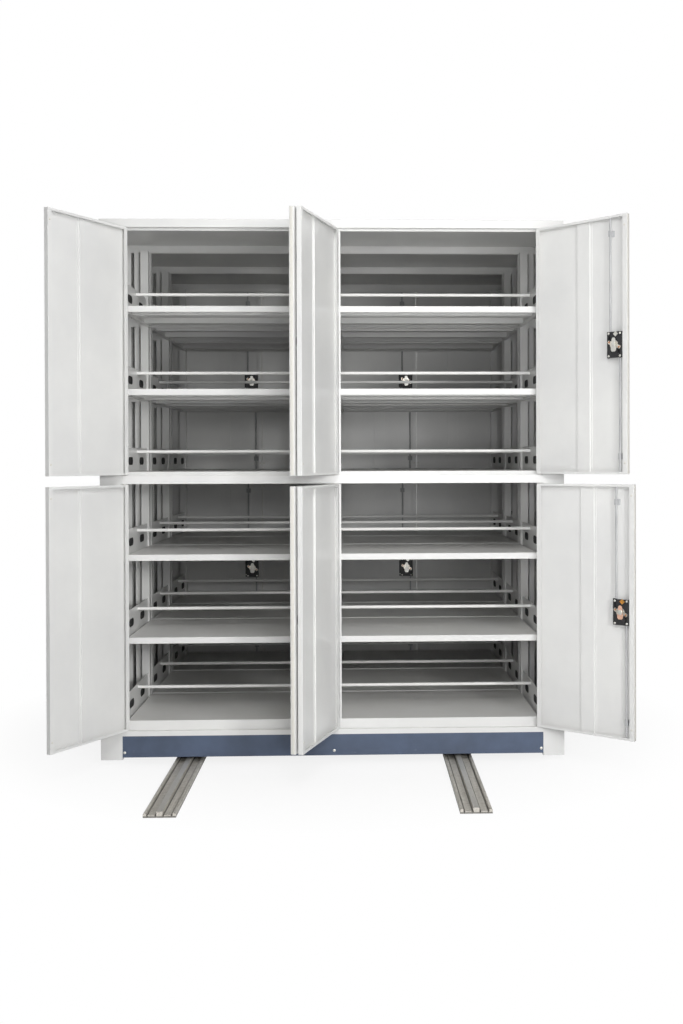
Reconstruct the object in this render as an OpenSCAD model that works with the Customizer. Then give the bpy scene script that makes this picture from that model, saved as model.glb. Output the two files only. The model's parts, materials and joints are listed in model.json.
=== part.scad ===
// Mobile file compactor: three double-faced shelving units, each two bays wide, on two floor rails.
// The middle unit is fixed to the rails. The front and rear units roll away from it on flanged
// wheels that a hand wheel turns through a chain. Lockable doors close the two outer faces.
// Frame: X to the right, Y to the rear, Z up, origin on the floor at the middle of the block.

/* [Block] */
// Width over the side casings
overall_w = 1950; // [1700:10:2300]
// Height from the floor to the top covers
overall_h = 2288; // [2200:2:2500]
// Depth of one double-faced unit, without its door frame
unit_d = 540; // [480:10:640]
// Gap between neighbouring units when they are pushed together
unit_gap = 20; // [12:1:40]
// Thickness of one side casing
side_t = 90; // [80:1:120]
// Thickness of the folded sheet
sheet_t = 2; // [1.5:0.5:3]

/* [Shelves] */
// Height of the lowest shelf's top face above the floor
shelf_z = 184; // [176:1:200]
// Height from one shelf to the next
shelf_pitch = 349; // [330:1:360]
// Height of the folded edge round a shelf
shelf_lip = 26; // [20:1:32]
// Width of the return under a shelf's edge
shelf_return = 14; // [8:1:20]
// Width of the stiffening channel under a shelf
shelf_rib_w = 60; // [40:5:90]
// Height of a file rod's centre above its shelf
rod_z = 87; // [70:1:95]
// Diameter of a file rod
rod_dia = 14; // [8:1:18]

/* [Uprights] */
// Width of a post, across the unit
post_w = 36; // [30:1:40]
// Depth of a post, along the unit
post_d = 40; // [34:1:50]
// Width of the folded lips on the open side of a post
post_lip = 12; // [10:1:14]
// Height of a hanging plate above its shelf
plate_h = 104; // [98:1:130]
// Distance of a hanging plate's inner face behind the posts' inner faces
plate_set = 8; // [7:1:9]
// Width of the ledge that carries a shelf
ledge_w = 20; // [17:1:24]
// Distance of the grip holes from the middle of the unit
hole_y = 120; // [100:5:150]
// Height of the grip holes' centres above the shelf
hole_z = 46; // [40:1:52]
// Width of a grip hole
hole_w = 29; // [18:1:32]
// Height of a grip hole
hole_h = 33; // [20:1:36]

/* [Casings] */
// Width of the folded returns and strips inside a side casing
casing_return = 20; // [14:1:24]
// Distance from a post to the strip beside it
strip_in = 14; // [8:1:18]
// Height of the brackets that bolt a casing to the posts
bracket_h = 40; // [20:5:60]
// Part of a post's width that lies behind the doors
post_tuck = 16; // [15:1:20]

/* [Door frame] */
// Height of the top rail's face
top_face = 34; // [30:1:50]
// Height of the lip that the top rail holds behind the doors
top_lip = 10; // [6:1:16]
// Height of the middle rail's face
mid_face = 35; // [30:1:50]
// Height of the lip above the middle rail's face
mid_lip = 16; // [14:1:30]
// Height of the bottom rail's face
bottom_face = 21; // [16:1:24]
// Width of the side lips behind the outer doors
side_lip = 18.5; // [17:0.5:22]
// Half of the width of the centre stile behind the middle doors
stile_half = 32; // [28:1:40]
// Depth from the doors' faces to the back of the lips
lip_y = 25; // [25:0.5:27]
// Length of the small return behind each lip
lip_return = 3; // [3:0.5:5]

/* [Doors] */
// Thickness of a door
door_t = 20; // [18:0.5:20]
// Gap round each door
door_gap = 3; // [3:0.5:4]
// Gap between the two middle doors at the centre of the block
centre_gap = 5; // [5:0.5:8]
// Distance of an outer door's pin from its hinged edge
outer_pin_in = 8; // [8:0.5:9]
// Distance of a middle door's pin from its hinged edge
middle_pin_in = 4.5; // [4.5:0.5:6]
// Distance of a pin's centre behind the door's face
pin_back = 3; // [2.7:0.1:3]
// Diameter of a hinge pin
pin_dia = 5; // [4:0.5:5]
// Width of the lips folded inwards at the sides of a door
door_lip = 20; // [10:1:22]
// Width of the lips folded inwards at the ends of a door
door_end_lip = 10; // [8:1:16]
// Width of the feet of a door's stiffener
rib_foot = 10; // [6:1:16]
// Width of the stiffener down a door
door_rib_w = 58; // [40:2:100]
// How far the stiffener stands off the door's sheet
door_rib_h = 6; // [4:0.5:15]
// How far the stiffener lies off the middle of a door, towards its free edge
door_rib_shift = 9; // [0:1:20]

/* [Door positions] */
// Opening of the upper outer left front door
open_upper_left = 121; // [90:1:140]
// Opening of the upper outer right front door
open_upper_right = 135; // [90:1:140]
// Opening of the lower outer left front door
open_lower_left = 121; // [90:1:140]
// Opening of the lower outer right front door
open_lower_right = 142; // [90:1:142]
// Opening of the front doors left of the centre stile
open_middle_left = 71.8; // [50:0.1:72]
// Opening of the front doors right of the centre stile
open_middle_right = 108; // [90:0.5:108]

/* [Locks] */
// Distance of a lock's spindle from the door's free edge
lock_in = 56; // [50:1:90]
// Height of a lock's spindle above the middle of its door
lock_rise = 0; // [-60:1:60]
// Radius of the round cup that holds the handle
cup_r = 30; // [26:1:34]
// Depth of the cup
cup_depth = 12; // [10:0.5:13]
// Thickness of the cup's wall
cup_wall = 1.5; // [1:0.5:2]
// Width of the lock case behind the door
case_w = 68; // [66:1:76]
// Height of the lock case
case_h = 104; // [90:1:130]
// Diameter of the spindle
spindle_dia = 10; // [8:1:14]
// Diameter of a locking rod
lock_rod_dia = 8; // [6:1:8]
// Height of the guides that hold the locking rods
guide_h = 24; // [16:1:40]
// Distance of a guide from the end of its rod
guide_in = 70; // [40:5:120]
// Distance of each locking rod from the spindle's centre line
lock_rod_x = 22; // [20:1:24]
// Height of a rod's driving pin above or below the spindle
rod_pin_z = 10; // [8:1:14]
// Diameter of a rod's driving pin
rod_pin_dia = 5; // [4:0.5:6]

/* [Base] */
// Height of the kick plate's lower edge above the floor
kick_z = 35; // [34:1:40]
// Height of the kick plate
kick_h = 89; // [84:1:92]
// Height of the base members' upper edge above the floor
base_top = 150; // [148:1:154]
// Thickness of the base's channels
base_t = 3; // [2:0.5:4]
// Thickness of the plates that hold the bearings
cheek_t = 5; // [4:0.5:8]
// Clear width between the bearing plates over a rail
cheek_gap = 75; // [70:1:90]
// Outer diameter of a bearing housing
bearing_dia = 56; // [48:1:60]
// Thickness of a bearing housing
bearing_t = 16; // [12:1:22]

/* [Running gear] */
// Diameter of a wheel's tread
wheel_dia = 120; // [116:1:124]
// Height of the flanges above the tread
flange_h = 7; // [5:0.5:8]
// Thickness of a flange
flange_t = 6; // [4:0.5:8]
// Diameter of the axles
axle_dia = 22; // [18:1:26]
// Distance of each axle from the end of its base
axle_in = 115; // [105:1:140]
// Height of the hand wheel's centre above the floor
hand_z = 985; // [900:5:990]
// Diameter of the hand wheel, measured at the middle of its rim
hand_dia = 300; // [240:5:310]
// Diameter of the rim's section
rim_dia = 24; // [18:1:28]
// Distance of the rim from the side casing
hand_out = 82; // [70:1:110]
// Diameter of the hand wheel's shaft
hand_shaft_dia = 20; // [16:1:24]
// Teeth on the axle's sprocket
axle_teeth = 20; // [18:1:20]
// Teeth on the hand wheel's sprocket
hand_teeth = 10; // [9:1:12]
// Pitch of the chain
chain_pitch = 12.7; // [9.525, 12.7]
// Width of the chain
chain_w = 8; // [6:0.5:10]

/* [Rails] */
// Distance of the left rail's centre from the middle of the block
left_rail_x = 612; // [560:1:640]
// Distance of the right rail's centre from the middle of the block
right_rail_x = 526; // [480:1:640]
// Width of a rail
rail_w = 118; // [108:1:140]
// Length of the rails in front of and behind the block
rail_run = 680; // [670:5:1200]
// Width of the running bar
bar_w = 22; // [18:1:26]
// Height of the running bar's top above the floor
bar_z = 22; // [20:1:24]
// Height of the rolled edges of a rail
edge_z = 16; // [13:1:18]
// Width of the rolled edges of a rail
edge_w = 12; // [8:1:16]
// Height of the flat bands beside the running bar
band_z = 9; // [6:0.5:10]
// Width of the grooves between the bands, the bar and the edges
groove_w = 6; // [4:0.5:7]

/* [Hidden] */
$fn = 48;

// Clearance of a turning shaft in its bore, on the radius
running_fit = 0.05;
// Clearance between pieces that hook or bolt together
seat_play = 0.3;
// Colours of the enamels, the zinc, the rubber and the bright metals
enamel = [0.89, 0.89, 0.88];
base_blue = [0.32, 0.36, 0.44];
zinc = [0.62, 0.61, 0.58];
steel = [0.55, 0.56, 0.58];
black = [0.07, 0.07, 0.08];
brass = [0.80, 0.68, 0.50];

// Half sizes and heights of the block
half_w = overall_w / 2;
inner_half = half_w - side_t;
levels = 6;
tier_levels = 3;
frame_d = lip_y + lip_return;
carriage_d = frame_d + unit_d;
block_d = 2 * carriage_d + unit_d + 2 * unit_gap;
half_d = block_d / 2;
kick_top = kick_z + kick_h;
cover_z = overall_h - top_face;
mid_shelf_z = shelf_z + tier_levels * shelf_pitch;
mid_top_z = mid_shelf_z - mid_lip;
mid_bottom_z = mid_top_z - mid_face;
bottom_top_z = kick_top + bottom_face;
casing_z = kick_z - 10;

// Places of the posts, the hanging plates and the shelves across one side of the unit
post_in = inner_half - post_tuck;
post_out = post_in + post_w;
plate_outer_x = post_in + plate_set;
plate_centre_x = post_w / 2 - plate_set;
shelf_x0 = post_w / 2 + 2;
shelf_x1 = post_in - 3;

// Doors: the heights and the width that their openings leave
lower_door_z = bottom_top_z + door_gap;
lower_door_h = mid_bottom_z - door_gap - lower_door_z;
upper_door_z = mid_top_z + door_gap;
upper_door_h = cover_z - door_gap - upper_door_z;
door_w = (inner_half - door_gap - centre_gap / 2 - door_gap) / 2;
pin_reach = door_gap + 2 * sheet_t;
pin_depth = 2 * sheet_t + 1;
frame_pin_r = pin_dia / 2 + running_fit;
skin_t = 1.5;
lock_proud = 2;

// Running gear
wheel_r = wheel_dia / 2;
axle_z = bar_z + seat_play + wheel_r;
axle_r = axle_dia / 2;
tread_w = bar_w + 2;
hub_half = cheek_gap / 2 - 4;
rail_xs = [-left_rail_x, right_rail_x];
bearing_end = cheek_gap / 2 + cheek_t + bearing_t;
chain_x = inner_half + side_t / 2 - 4;
chain_half = 4;
chain_facet = 9;
axle_pitch_r = chain_pitch / 2 / sin(180 / axle_teeth);
hand_pitch_r = chain_pitch / 2 / sin(180 / hand_teeth);
drive_y = axle_in;
idle_y = carriage_d - axle_in;
hand_y = carriage_d / 2;
boss_out = 14;
boss_in = 10;

// A box between two opposite corners
module block(low, high) {
    translate(low)
        cube(high - low);
}

// Section of a folded sheet whose middle line follows the path, rounded on the outside of each fold
module folded(path, t = sheet_t) {
    for (i = [0 : len(path) - 2])
        let (run = path[i + 1] - path[i])
            translate(path[i])
                rotate(atan2(run.y, run.x))
                    translate([0, -t / 2])
                        square([norm(run), t]);
    for (i = [1 : len(path) - 2])
        translate(path[i])
            circle(d = t);
}

// Extrudes a section drawn in Y and Z along X, from x0 to x1
module along_x(x0, x1) {
    translate([x0, 0, 0])
        rotate([90, 0, 90])
            linear_extrude(x1 - x0)
                children();
}

// Extrudes a section drawn in X and Z along Y, from y0 to y1
module along_y(y0, y1) {
    translate([0, y1, 0])
        rotate([90, 0, 0])
            linear_extrude(y1 - y0)
                children();
}

// Extrudes a section drawn in X and Y upwards, from z0 to z1
module along_z(z0, z1) {
    translate([0, 0, z0])
        linear_extrude(z1 - z0)
            children();
}

// The same piece on the left and on the right
module both_sides() {
    children();
    mirror([1, 0, 0])
        children();
}

// Section of a post: a channel with inward lips, open towards +Y
module post_section() {
    m = sheet_t / 2;
    folded([[post_lip, post_d - m], [m, post_d - m], [m, m], [post_w - m, m],
            [post_w - m, post_d - m], [post_w - post_lip, post_d - m]]);
}

// A front post and a rear post, back to back with the bay between them
module post_pair(x, top) {
    translate([x, post_d, 0])
        mirror([0, 1, 0])
            along_z(base_top, top)
                post_section();
    translate([x, unit_d - post_d, 0])
        along_z(base_top, top)
            post_section();
}

// A hanging plate that hooks between two posts, with the ledge that carries a shelf's end.
// x is the side of the plate away from the bay, and side is 1 when the bay lies towards +X.
module hanging_plate(x, side, z) {
    m = sheet_t / 2;
    low = z - shelf_lip - sheet_t;
    translate([x, 0, 0])
        mirror([side > 0 ? 0 : 1, 0, 0])
            difference() {
                along_y(post_d + seat_play, unit_d - post_d - seat_play)
                    folded([[m, z + plate_h], [m, low + m], [ledge_w, low + m]]);
                for (s = [-1, 1])
                    translate([-1, unit_d / 2 + s * hole_y, z + hole_z])
                        grip_hole();
            }
}

// The opening of a grip hole: a slot with rounded ends
module grip_hole() {
    r = hole_w / 2;
    rise = (hole_h - hole_w) / 2;
    for (s = [-1, 1])
        translate([0, 0, s * rise])
            rotate([0, 90, 0])
                cylinder(r = r, h = sheet_t + 2);
    translate([0, -r, -rise])
        cube([sheet_t + 2, hole_w, 2 * rise]);
}

// Posts and hanging plates of one unit, with the unit's front at y = 0
module uprights() {
    top = cover_z;
    color(enamel) {
        both_sides()
            post_pair(post_in, top);
        translate([-post_w / 2, 0, 0])
            post_pair(0, top);
        for (i = [0 : levels - 1])
            both_sides() {
                hanging_plate(plate_outer_x + sheet_t, -1, shelf_z + i * shelf_pitch);
                hanging_plate(plate_centre_x, 1, shelf_z + i * shelf_pitch);
            }
    }
}

// One shelf: a sheet folded down and under along its long edges, closed at its ends, with two
// stiffening channels beneath
module shelf_board() {
    m = sheet_t / 2;
    under = -shelf_lip;
    along_x(shelf_x0, shelf_x1) {
        folded([[shelf_return, under + m], [m, under + m], [m, -m], [unit_d - m, -m],
                [unit_d - m, under + m], [unit_d - shelf_return, under + m]]);
        for (y = [unit_d / 4, 3 * unit_d / 4])
            folded([[y - shelf_rib_w / 2, -sheet_t], [y - shelf_rib_w / 2, under + m],
                    [y + shelf_rib_w / 2, under + m], [y + shelf_rib_w / 2, -sheet_t]]);
    }
    for (x = [shelf_x0, shelf_x1 - sheet_t])
        block([x, m, under], [x + sheet_t, unit_d - m, -m]);
}

// All shelves of one unit
module shelves() {
    color(enamel)
        for (i = [0 : levels - 1])
            translate([0, 0, shelf_z + i * shelf_pitch])
                both_sides()
                    shelf_board();
}

// The rod across the middle of each shelf that keeps the two rows of files apart
module file_rods() {
    x0 = plate_centre_x + sheet_t;
    color(enamel)
        for (i = [0 : levels - 1])
            both_sides()
                translate([x0, unit_d / 2, shelf_z + i * shelf_pitch + rod_z])
                    rotate([0, 90, 0])
                        cylinder(d = rod_dia, h = plate_outer_x - x0);
}

// One side casing from y0 to y1: a folded outer sheet with two pressed grooves, a vertical strip
// beside each return, a closed bottom and the brackets that bolt it to the posts
module side_casing(y0, y1, front_wall, unit_y) {
    m = sheet_t / 2;
    seam_d = sheet_t / 2;
    seam_w = 6;
    strip_x = post_out + strip_in;
    top = cover_z - seat_play;
    front_path = front_wall ?
        [[inner_half + m, y0 + lip_y], [inner_half + m, y0 + m], [half_w - m, y0 + m]] :
        [[half_w - casing_return, y0 + m], [half_w - m, y0 + m]];
    difference() {
        along_z(casing_z, top)
            folded(concat(front_path, [[half_w - m, y1 - m], [half_w - casing_return, y1 - m]]));
        for (k = [1, 2])
            block([half_w - seam_d, y0 + k * (y1 - y0) / 3 - seam_w / 2, casing_z - 1],
                  [half_w + 1, y0 + k * (y1 - y0) / 3 + seam_w / 2, top + 1]);
    }
    for (y = front_wall ? [y1 - 2 * sheet_t] : [y0 + sheet_t, y1 - 2 * sheet_t])
        block([strip_x, y, base_top], [strip_x + casing_return, y + sheet_t, top]);
    block([inner_half + sheet_t, y0 + m, casing_z], [half_w - m, y1 - m, casing_z + sheet_t]);
    for (i = [1 : levels - 1])
        let (z = shelf_z + i * shelf_pitch - shelf_lip)
            for (y = [unit_y + post_d / 2, unit_y + unit_d - post_d / 2])
                block([post_out, y, z], [half_w - m, y + sheet_t, z + bracket_h]);
}

// Flat cover with its front and rear edges folded down, from y0 to y1, and closed ends
module top_cover(y0, y1) {
    m = sheet_t / 2;
    along_x(-half_w, half_w)
        folded([[y0 + m, cover_z], [y0 + m, overall_h - m], [y1 - m, overall_h - m], [y1 - m, cover_z]]);
    both_sides()
        block([half_w - sheet_t, y0 + m, cover_z], [half_w, y1 - m, overall_h - m]);
}

// The bearing that carries the hand wheel's shaft in the right side casing
module hand_bearing_solid() {
    translate([half_w - boss_in, hand_y, hand_z])
        rotate([0, 90, 0])
            cylinder(d = 2.6 * hand_shaft_dia, h = boss_in + boss_out);
}

// The bore of that bearing
module hand_bearing_bore() {
    translate([half_w - boss_in - 1, hand_y, hand_z])
        rotate([0, 90, 0])
            cylinder(r = hand_shaft_dia / 2 + running_fit, h = boss_in + boss_out + 2);
}

// Casing of a rolling unit: two sides, the top cover and the hand wheel's bearing
module carriage_casing() {
    color(enamel) {
        difference() {
            union() {
                side_casing(0, carriage_d, true, frame_d);
                hand_bearing_solid();
            }
            hand_bearing_bore();
        }
        mirror([1, 0, 0])
            side_casing(0, carriage_d, true, frame_d);
        top_cover(lip_y, carriage_d);
    }
}

// Casing of the fixed middle unit
module middle_casing() {
    color(enamel)
        translate([0, -unit_d / 2, 0]) {
            both_sides()
                side_casing(0, unit_d, false, 0);
            top_cover(0, unit_d);
        }
}

// Rubber strips on the middle unit that close the joints between the units
module buffers() {
    strip_w = 16;
    color(black)
        for (s = [-1, 1])
            both_sides()
                block([half_w - strip_w - sheet_t, s > 0 ? unit_d / 2 : -unit_d / 2 - unit_gap + seat_play,
                       kick_top],
                      [half_w - sheet_t, s > 0 ? unit_d / 2 + unit_gap - seat_play : -unit_d / 2, cover_z]);
}

// Holes for the hinge pins in a rail of the door frame, between two heights
module pin_bores(z0, z1) {
    for (x = [centre_gap / 2 + middle_pin_in, inner_half - door_gap - outer_pin_in])
        both_sides()
            translate([x, pin_back, z0])
                cylinder(r = frame_pin_r, h = z1 - z0);
}

// Top rail: a channel over the doors whose lip hangs down behind them
module top_rail() {
    m = sheet_t / 2;
    low = cover_z - top_lip;
    difference() {
        union() {
            along_x(-half_w, half_w)
                folded([[lip_y, overall_h - m], [m, overall_h - m], [m, cover_z + m], [lip_y, cover_z + m]]);
            along_x(-inner_half, inner_half)
                folded([[lip_y - m, cover_z + sheet_t], [lip_y - m, low + m], [frame_d, low + m]]);
            both_sides()
                block([half_w - sheet_t, m, cover_z + m], [half_w, lip_y, overall_h - m]);
        }
        pin_bores(cover_z - 1, cover_z + pin_depth);
    }
}

// Middle rail: a channel between the two door tiers whose lip stands up behind the upper doors
module middle_rail() {
    m = sheet_t / 2;
    difference() {
        along_x(-inner_half, inner_half)
            folded([[lip_y, mid_bottom_z + m], [m, mid_bottom_z + m], [m, mid_top_z - m],
                    [lip_y - m, mid_top_z - m], [lip_y - m, mid_shelf_z - m], [frame_d, mid_shelf_z - m]]);
        pin_bores(mid_top_z - pin_depth, mid_top_z + 1);
        pin_bores(mid_bottom_z - 1, mid_bottom_z + pin_depth);
    }
}

// Bottom rail: a channel under the doors whose lip reaches the lowest shelf
module bottom_rail() {
    m = sheet_t / 2;
    difference() {
        along_x(-inner_half, inner_half)
            folded([[lip_y, kick_top + m], [m, kick_top + m], [m, bottom_top_z - m],
                    [lip_y - m, bottom_top_z - m], [lip_y - m, shelf_z - m], [frame_d, shelf_z - m]]);
        pin_bores(bottom_top_z - pin_depth, bottom_top_z + 1);
    }
}

// Upright lips of one tier: two at the sides and the centre stile
module tier_stiles(z0, z1) {
    m = sheet_t / 2;
    y = lip_y - m;
    side_x = inner_half - side_lip + m;
    along_z(z0 + seat_play, z1 - seat_play) {
        both_sides()
            folded([[inner_half, y], [side_x, y], [side_x, frame_d]]);
        folded([[m - stile_half, frame_d], [m - stile_half, y],
                [stile_half - m, y], [stile_half - m, frame_d]]);
    }
}

// The frame that the doors of one face hang in
module door_frame() {
    color(enamel) {
        top_rail();
        middle_rail();
        bottom_rail();
        tier_stiles(shelf_z, mid_bottom_z);
        tier_stiles(mid_shelf_z, cover_z - top_lip);
    }
}

// A channel from y0 to y1 with its back at x0 and its flanges towards x1
module long_member(x0, x1, y0, y1, z0, z1) {
    m = base_t / 2;
    back = x0 + (x1 > x0 ? m : -m);
    along_y(y0, y1)
        folded([[x1, z0 + m], [back, z0 + m], [back, z1 - m], [x1, z1 - m]], base_t);
}

// A channel across the base with its face at y0 and its flanges towards y1
module cross_member(y0, y1, z0, z1) {
    m = base_t / 2;
    face = y0 + (y1 > y0 ? m : -m);
    along_x(-inner_half, inner_half)
        folded([[y1, z0 + m], [face, z0 + m], [face, z1 - m], [y1, z1 - m]], base_t);
}

// Bearing plates over one rail, with housings on their outer sides where axle_ys are given
module rail_cheeks(x, y0, y1, axle_ys) {
    for (s = [-1, 1])
        translate([x, 0, 0])
            mirror([s > 0 ? 0 : 1, 0, 0])
                difference() {
                    union() {
                        block([cheek_gap / 2, y0, kick_z], [cheek_gap / 2 + cheek_t, y1, base_top]);
                        for (y = axle_ys)
                            translate([cheek_gap / 2, y, axle_z])
                                rotate([0, 90, 0])
                                    cylinder(d = bearing_dia, h = cheek_t + bearing_t);
                    }
                    for (y = axle_ys)
                        translate([cheek_gap / 2 - 1, y, axle_z])
                            rotate([0, 90, 0])
                                cylinder(r = axle_r + running_fit, h = cheek_t + bearing_t + 2);
                }
}

// Members of a base between its front and rear beams, without the bearing plates
module base_members(y0, y1, shaft_y) {
    end_w = 40;
    centre_z = axle_z + axle_r + 6;
    difference() {
        long_member(inner_half, inner_half - end_w, y0, y1, kick_z, base_top);
        translate([inner_half - end_w - 1, shaft_y, axle_z])
            rotate([0, 90, 0])
                cylinder(r = axle_r + 4, h = end_w + 2);
    }
    long_member(-inner_half, -inner_half + end_w, y0, y1, kick_z, base_top);
    long_member(-post_w / 2, post_w / 2, y0, y1, centre_z, base_top);
}

// Base of a rolling unit: the blue kick channel, the rear beam, the members and the bearings
module carriage_base() {
    beam_w = 40;
    y0 = beam_w + seat_play;
    y1 = carriage_d - beam_w - seat_play;
    color(base_blue) {
        cross_member(0, beam_w, kick_z, kick_top);
        cross_member(carriage_d, carriage_d - beam_w, kick_z, base_top);
        base_members(y0, y1, drive_y);
        for (x = rail_xs)
            rail_cheeks(x, y0, y1, [drive_y, idle_y]);
    }
}

// Base of the fixed unit, which stands on the rails' running bars on four feet
module middle_base() {
    beam_w = 40;
    y0 = beam_w + seat_play;
    y1 = unit_d - beam_w - seat_play;
    foot_l = 70;
    color(base_blue)
        translate([0, -unit_d / 2, 0]) {
            cross_member(0, beam_w, kick_z, base_top);
            cross_member(unit_d, unit_d - beam_w, kick_z, base_top);
            base_members(y0, y1, unit_d / 2);
            for (x = rail_xs) {
                rail_cheeks(x, y0, y1, []);
                for (y = [axle_in, unit_d - axle_in - foot_l])
                    block([x - cheek_gap / 2, y, bar_z], [x + cheek_gap / 2, y + foot_l, axle_z]);
            }
        }
}

// One wheel about the X axis: a tread between two flanges, a thinner web and a hub
module wheel() {
    web_half = 5;
    rim_in = wheel_r - 14;
    hub_r = axle_r + 10;
    half = tread_w / 2 + flange_t;
    rotate([0, 90, 0])
        rotate_extrude()
            polygon([
                [0, -hub_half], [hub_r, -hub_half], [hub_r, -web_half], [rim_in, -web_half],
                [rim_in, -half], [wheel_r + flange_h - 2, -half], [wheel_r + flange_h, -half + 2],
                [wheel_r + flange_h, -tread_w / 2 - 2], [wheel_r, -tread_w / 2],
                [wheel_r, tread_w / 2], [wheel_r + flange_h, tread_w / 2 + 2],
                [wheel_r + flange_h, half - 2], [wheel_r + flange_h - 2, half], [rim_in, half],
                [rim_in, web_half], [hub_r, web_half], [hub_r, hub_half], [0, hub_half]
            ]);
}

// A sprocket about the X axis that lies inside its chain
module sprocket(teeth, pitch_r, bore_r) {
    tip = (pitch_r - chain_half) * cos(chain_facet / 2) - seat_play;
    root = tip - 4;
    tooth = [0.1, 0.35, 0.65, 0.9];
    rotate([0, 90, 0])
        linear_extrude(chain_w - 2, center = true)
            difference() {
                polygon([
                    for (i = [0 : teeth - 1], k = [0 : 3])
                        let (r = k == 1 || k == 2 ? tip : root, a = (i + tooth[k]) * 360 / teeth)
                            [r * cos(a), r * sin(a)]
                ]);
                circle(r = bore_r);
            }
}

// An axle with its two wheels, from x0 to x1
module wheel_set(x0, x1) {
    translate([x0, 0, 0])
        rotate([0, 90, 0])
            cylinder(r = axle_r, h = x1 - x0);
    for (x = rail_xs)
        translate([x, 0, 0])
            wheel();
}

// The driven axle, which reaches into the right side casing and carries a sprocket
module drive_axle() {
    color(steel)
        translate([0, drive_y, axle_z]) {
            wheel_set(-left_rail_x - bearing_end - 3, chain_x + chain_w);
            translate([chain_x, 0, 0])
                sprocket(axle_teeth, axle_pitch_r, axle_r - 1);
        }
}

// The other axle of a rolling unit
module idle_axle() {
    color(steel)
        translate([0, idle_y, axle_z])
            wheel_set(-left_rail_x - bearing_end - 3, right_rail_x + bearing_end + 3);
}

// Outline of the chain, grown by e, around the two sprockets in the Y-Z plane
module chain_outline(e) {
    dy = hand_y - drive_y;
    dz = hand_z - axle_z;
    dist = sqrt(dy * dy + dz * dz);
    lean = atan2(dz, dy);
    turn = acos((axle_pitch_r - hand_pitch_r) / dist);
    steps = 24;
    upper_arc = [
        for (i = [0 : steps])
            let (a = lean - turn + 2 * turn * i / steps, r = hand_pitch_r + e)
                [dy + r * cos(a), dz + r * sin(a)]
    ];
    lower_arc = [
        for (i = [0 : steps])
            let (a = lean + turn + (360 - 2 * turn) * i / steps, r = axle_pitch_r + e)
                [r * cos(a), r * sin(a)]
    ];
    polygon(concat(upper_arc, lower_arc));
}

// The chain from the hand wheel's sprocket down to the axle's
module chain() {
    color(steel)
        translate([chain_x - chain_w / 2, drive_y, axle_z])
            rotate([90, 0, 90])
                linear_extrude(chain_w)
                    difference() {
                        chain_outline(chain_half);
                        chain_outline(-chain_half);
                    }
}

// The hand wheel: a round rim on three spokes, a hub, its shaft and the small sprocket
module hand_wheel() {
    rim_x = half_w + hand_out;
    hub_r = 28;
    hub_x = half_w + boss_out + seat_play;
    color(steel)
        translate([0, hand_y, hand_z]) {
            translate([chain_x - chain_w, 0, 0])
                rotate([0, 90, 0])
                    cylinder(d = hand_shaft_dia, h = hub_x + 1 - chain_x + chain_w);
            translate([chain_x, 0, 0])
                sprocket(hand_teeth, hand_pitch_r, hand_shaft_dia / 2 - 1);
            translate([hub_x, 0, 0])
                rotate([0, 90, 0])
                    rotate_extrude()
                        polygon([[0, 0], [hub_r - 6, 0], [hub_r, 8], [hub_r, rim_x - hub_x - 12],
                                 [hub_r - 10, rim_x - hub_x + 8], [0, rim_x - hub_x + 12]]);
            translate([rim_x, 0, 0])
                rotate([0, 90, 0])
                    rotate_extrude($fn = 72)
                        translate([hand_dia / 2, 0])
                            circle(d = rim_dia, $fn = 24);
            for (a = [90, 210, 330])
                rotate([a, 0, 0])
                    translate([rim_x - 8, hub_r - 6, 0])
                        rotate([-90, 0, 0])
                            cylinder(d = 13, h = hand_dia / 2 - hub_r + 6);
        }
}

// Section of one rail about its centre: rolled edges, two bands and the running bar
module rail_section() {
    base_z = 4;
    half = rail_w / 2;
    bar_half = bar_w / 2;
    lead = 3;
    polygon([
        [-half, 0], [half, 0], [half, edge_z - lead], [half - lead, edge_z],
        [half - edge_w, edge_z], [half - edge_w, base_z], [half - edge_w - groove_w, base_z],
        [half - edge_w - groove_w, band_z], [bar_half + groove_w, band_z], [bar_half + groove_w, base_z],
        [bar_half, base_z], [bar_half, bar_z - 1], [bar_half - 1, bar_z],
        [-bar_half + 1, bar_z], [-bar_half, bar_z - 1], [-bar_half, base_z],
        [-bar_half - groove_w, base_z], [-bar_half - groove_w, band_z],
        [-half + edge_w + groove_w, band_z], [-half + edge_w + groove_w, base_z],
        [-half + edge_w, base_z], [-half + edge_w, edge_z], [-half + lead, edge_z], [-half, edge_z - lead]
    ]);
}

// The two floor rails
module rails() {
    color(zinc)
        for (x = rail_xs)
            translate([x, half_d + rail_run, 0])
                rotate([90, 0, 0])
                    linear_extrude(2 * (half_d + rail_run))
                        rail_section();
}

// Flat bars between the rails that hold their gauge, one under each unit
module rail_ties() {
    tie_w = 60;
    tie_t = 4;
    color(zinc)
        for (y = [-unit_d - unit_gap, 0, unit_d + unit_gap])
            block([-left_rail_x + rail_w / 2, y - tie_w / 2, 0],
                  [right_rail_x - rail_w / 2, y + tie_w / 2, tie_t]);
}

// Height of a door for its tier, 0 for the lower and 1 for the upper one
function door_height(tier) = tier == 0 ? lower_door_h : upper_door_h;
// Height of a door's lower edge above the floor
function door_low(tier) = tier == 0 ? lower_door_z : upper_door_z;
// Doors are numbered 1 to 4 from the left, seen from outside. 2 and 3 hang at the centre stile.
function pin_in(n) = n == 1 || n == 4 ? outer_pin_in : middle_pin_in;
// Distance of a door's pin from the middle of the block
function pin_x(n) = n == 1 || n == 4 ? inner_half - door_gap - outer_pin_in : centre_gap / 2 + middle_pin_in;
// Opening angle of a front door; the rear doors are closed
function opening(tier, n) =
    n == 2 ? open_middle_left :
    n == 3 ? open_middle_right :
    n == 1 ? (tier == 0 ? open_lower_left : open_upper_left) :
    (tier == 0 ? open_lower_right : open_upper_right);
// Distance from a door's pin to its lock's spindle
function spindle_x(n) = door_w - pin_in(n) - lock_in;
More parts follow.
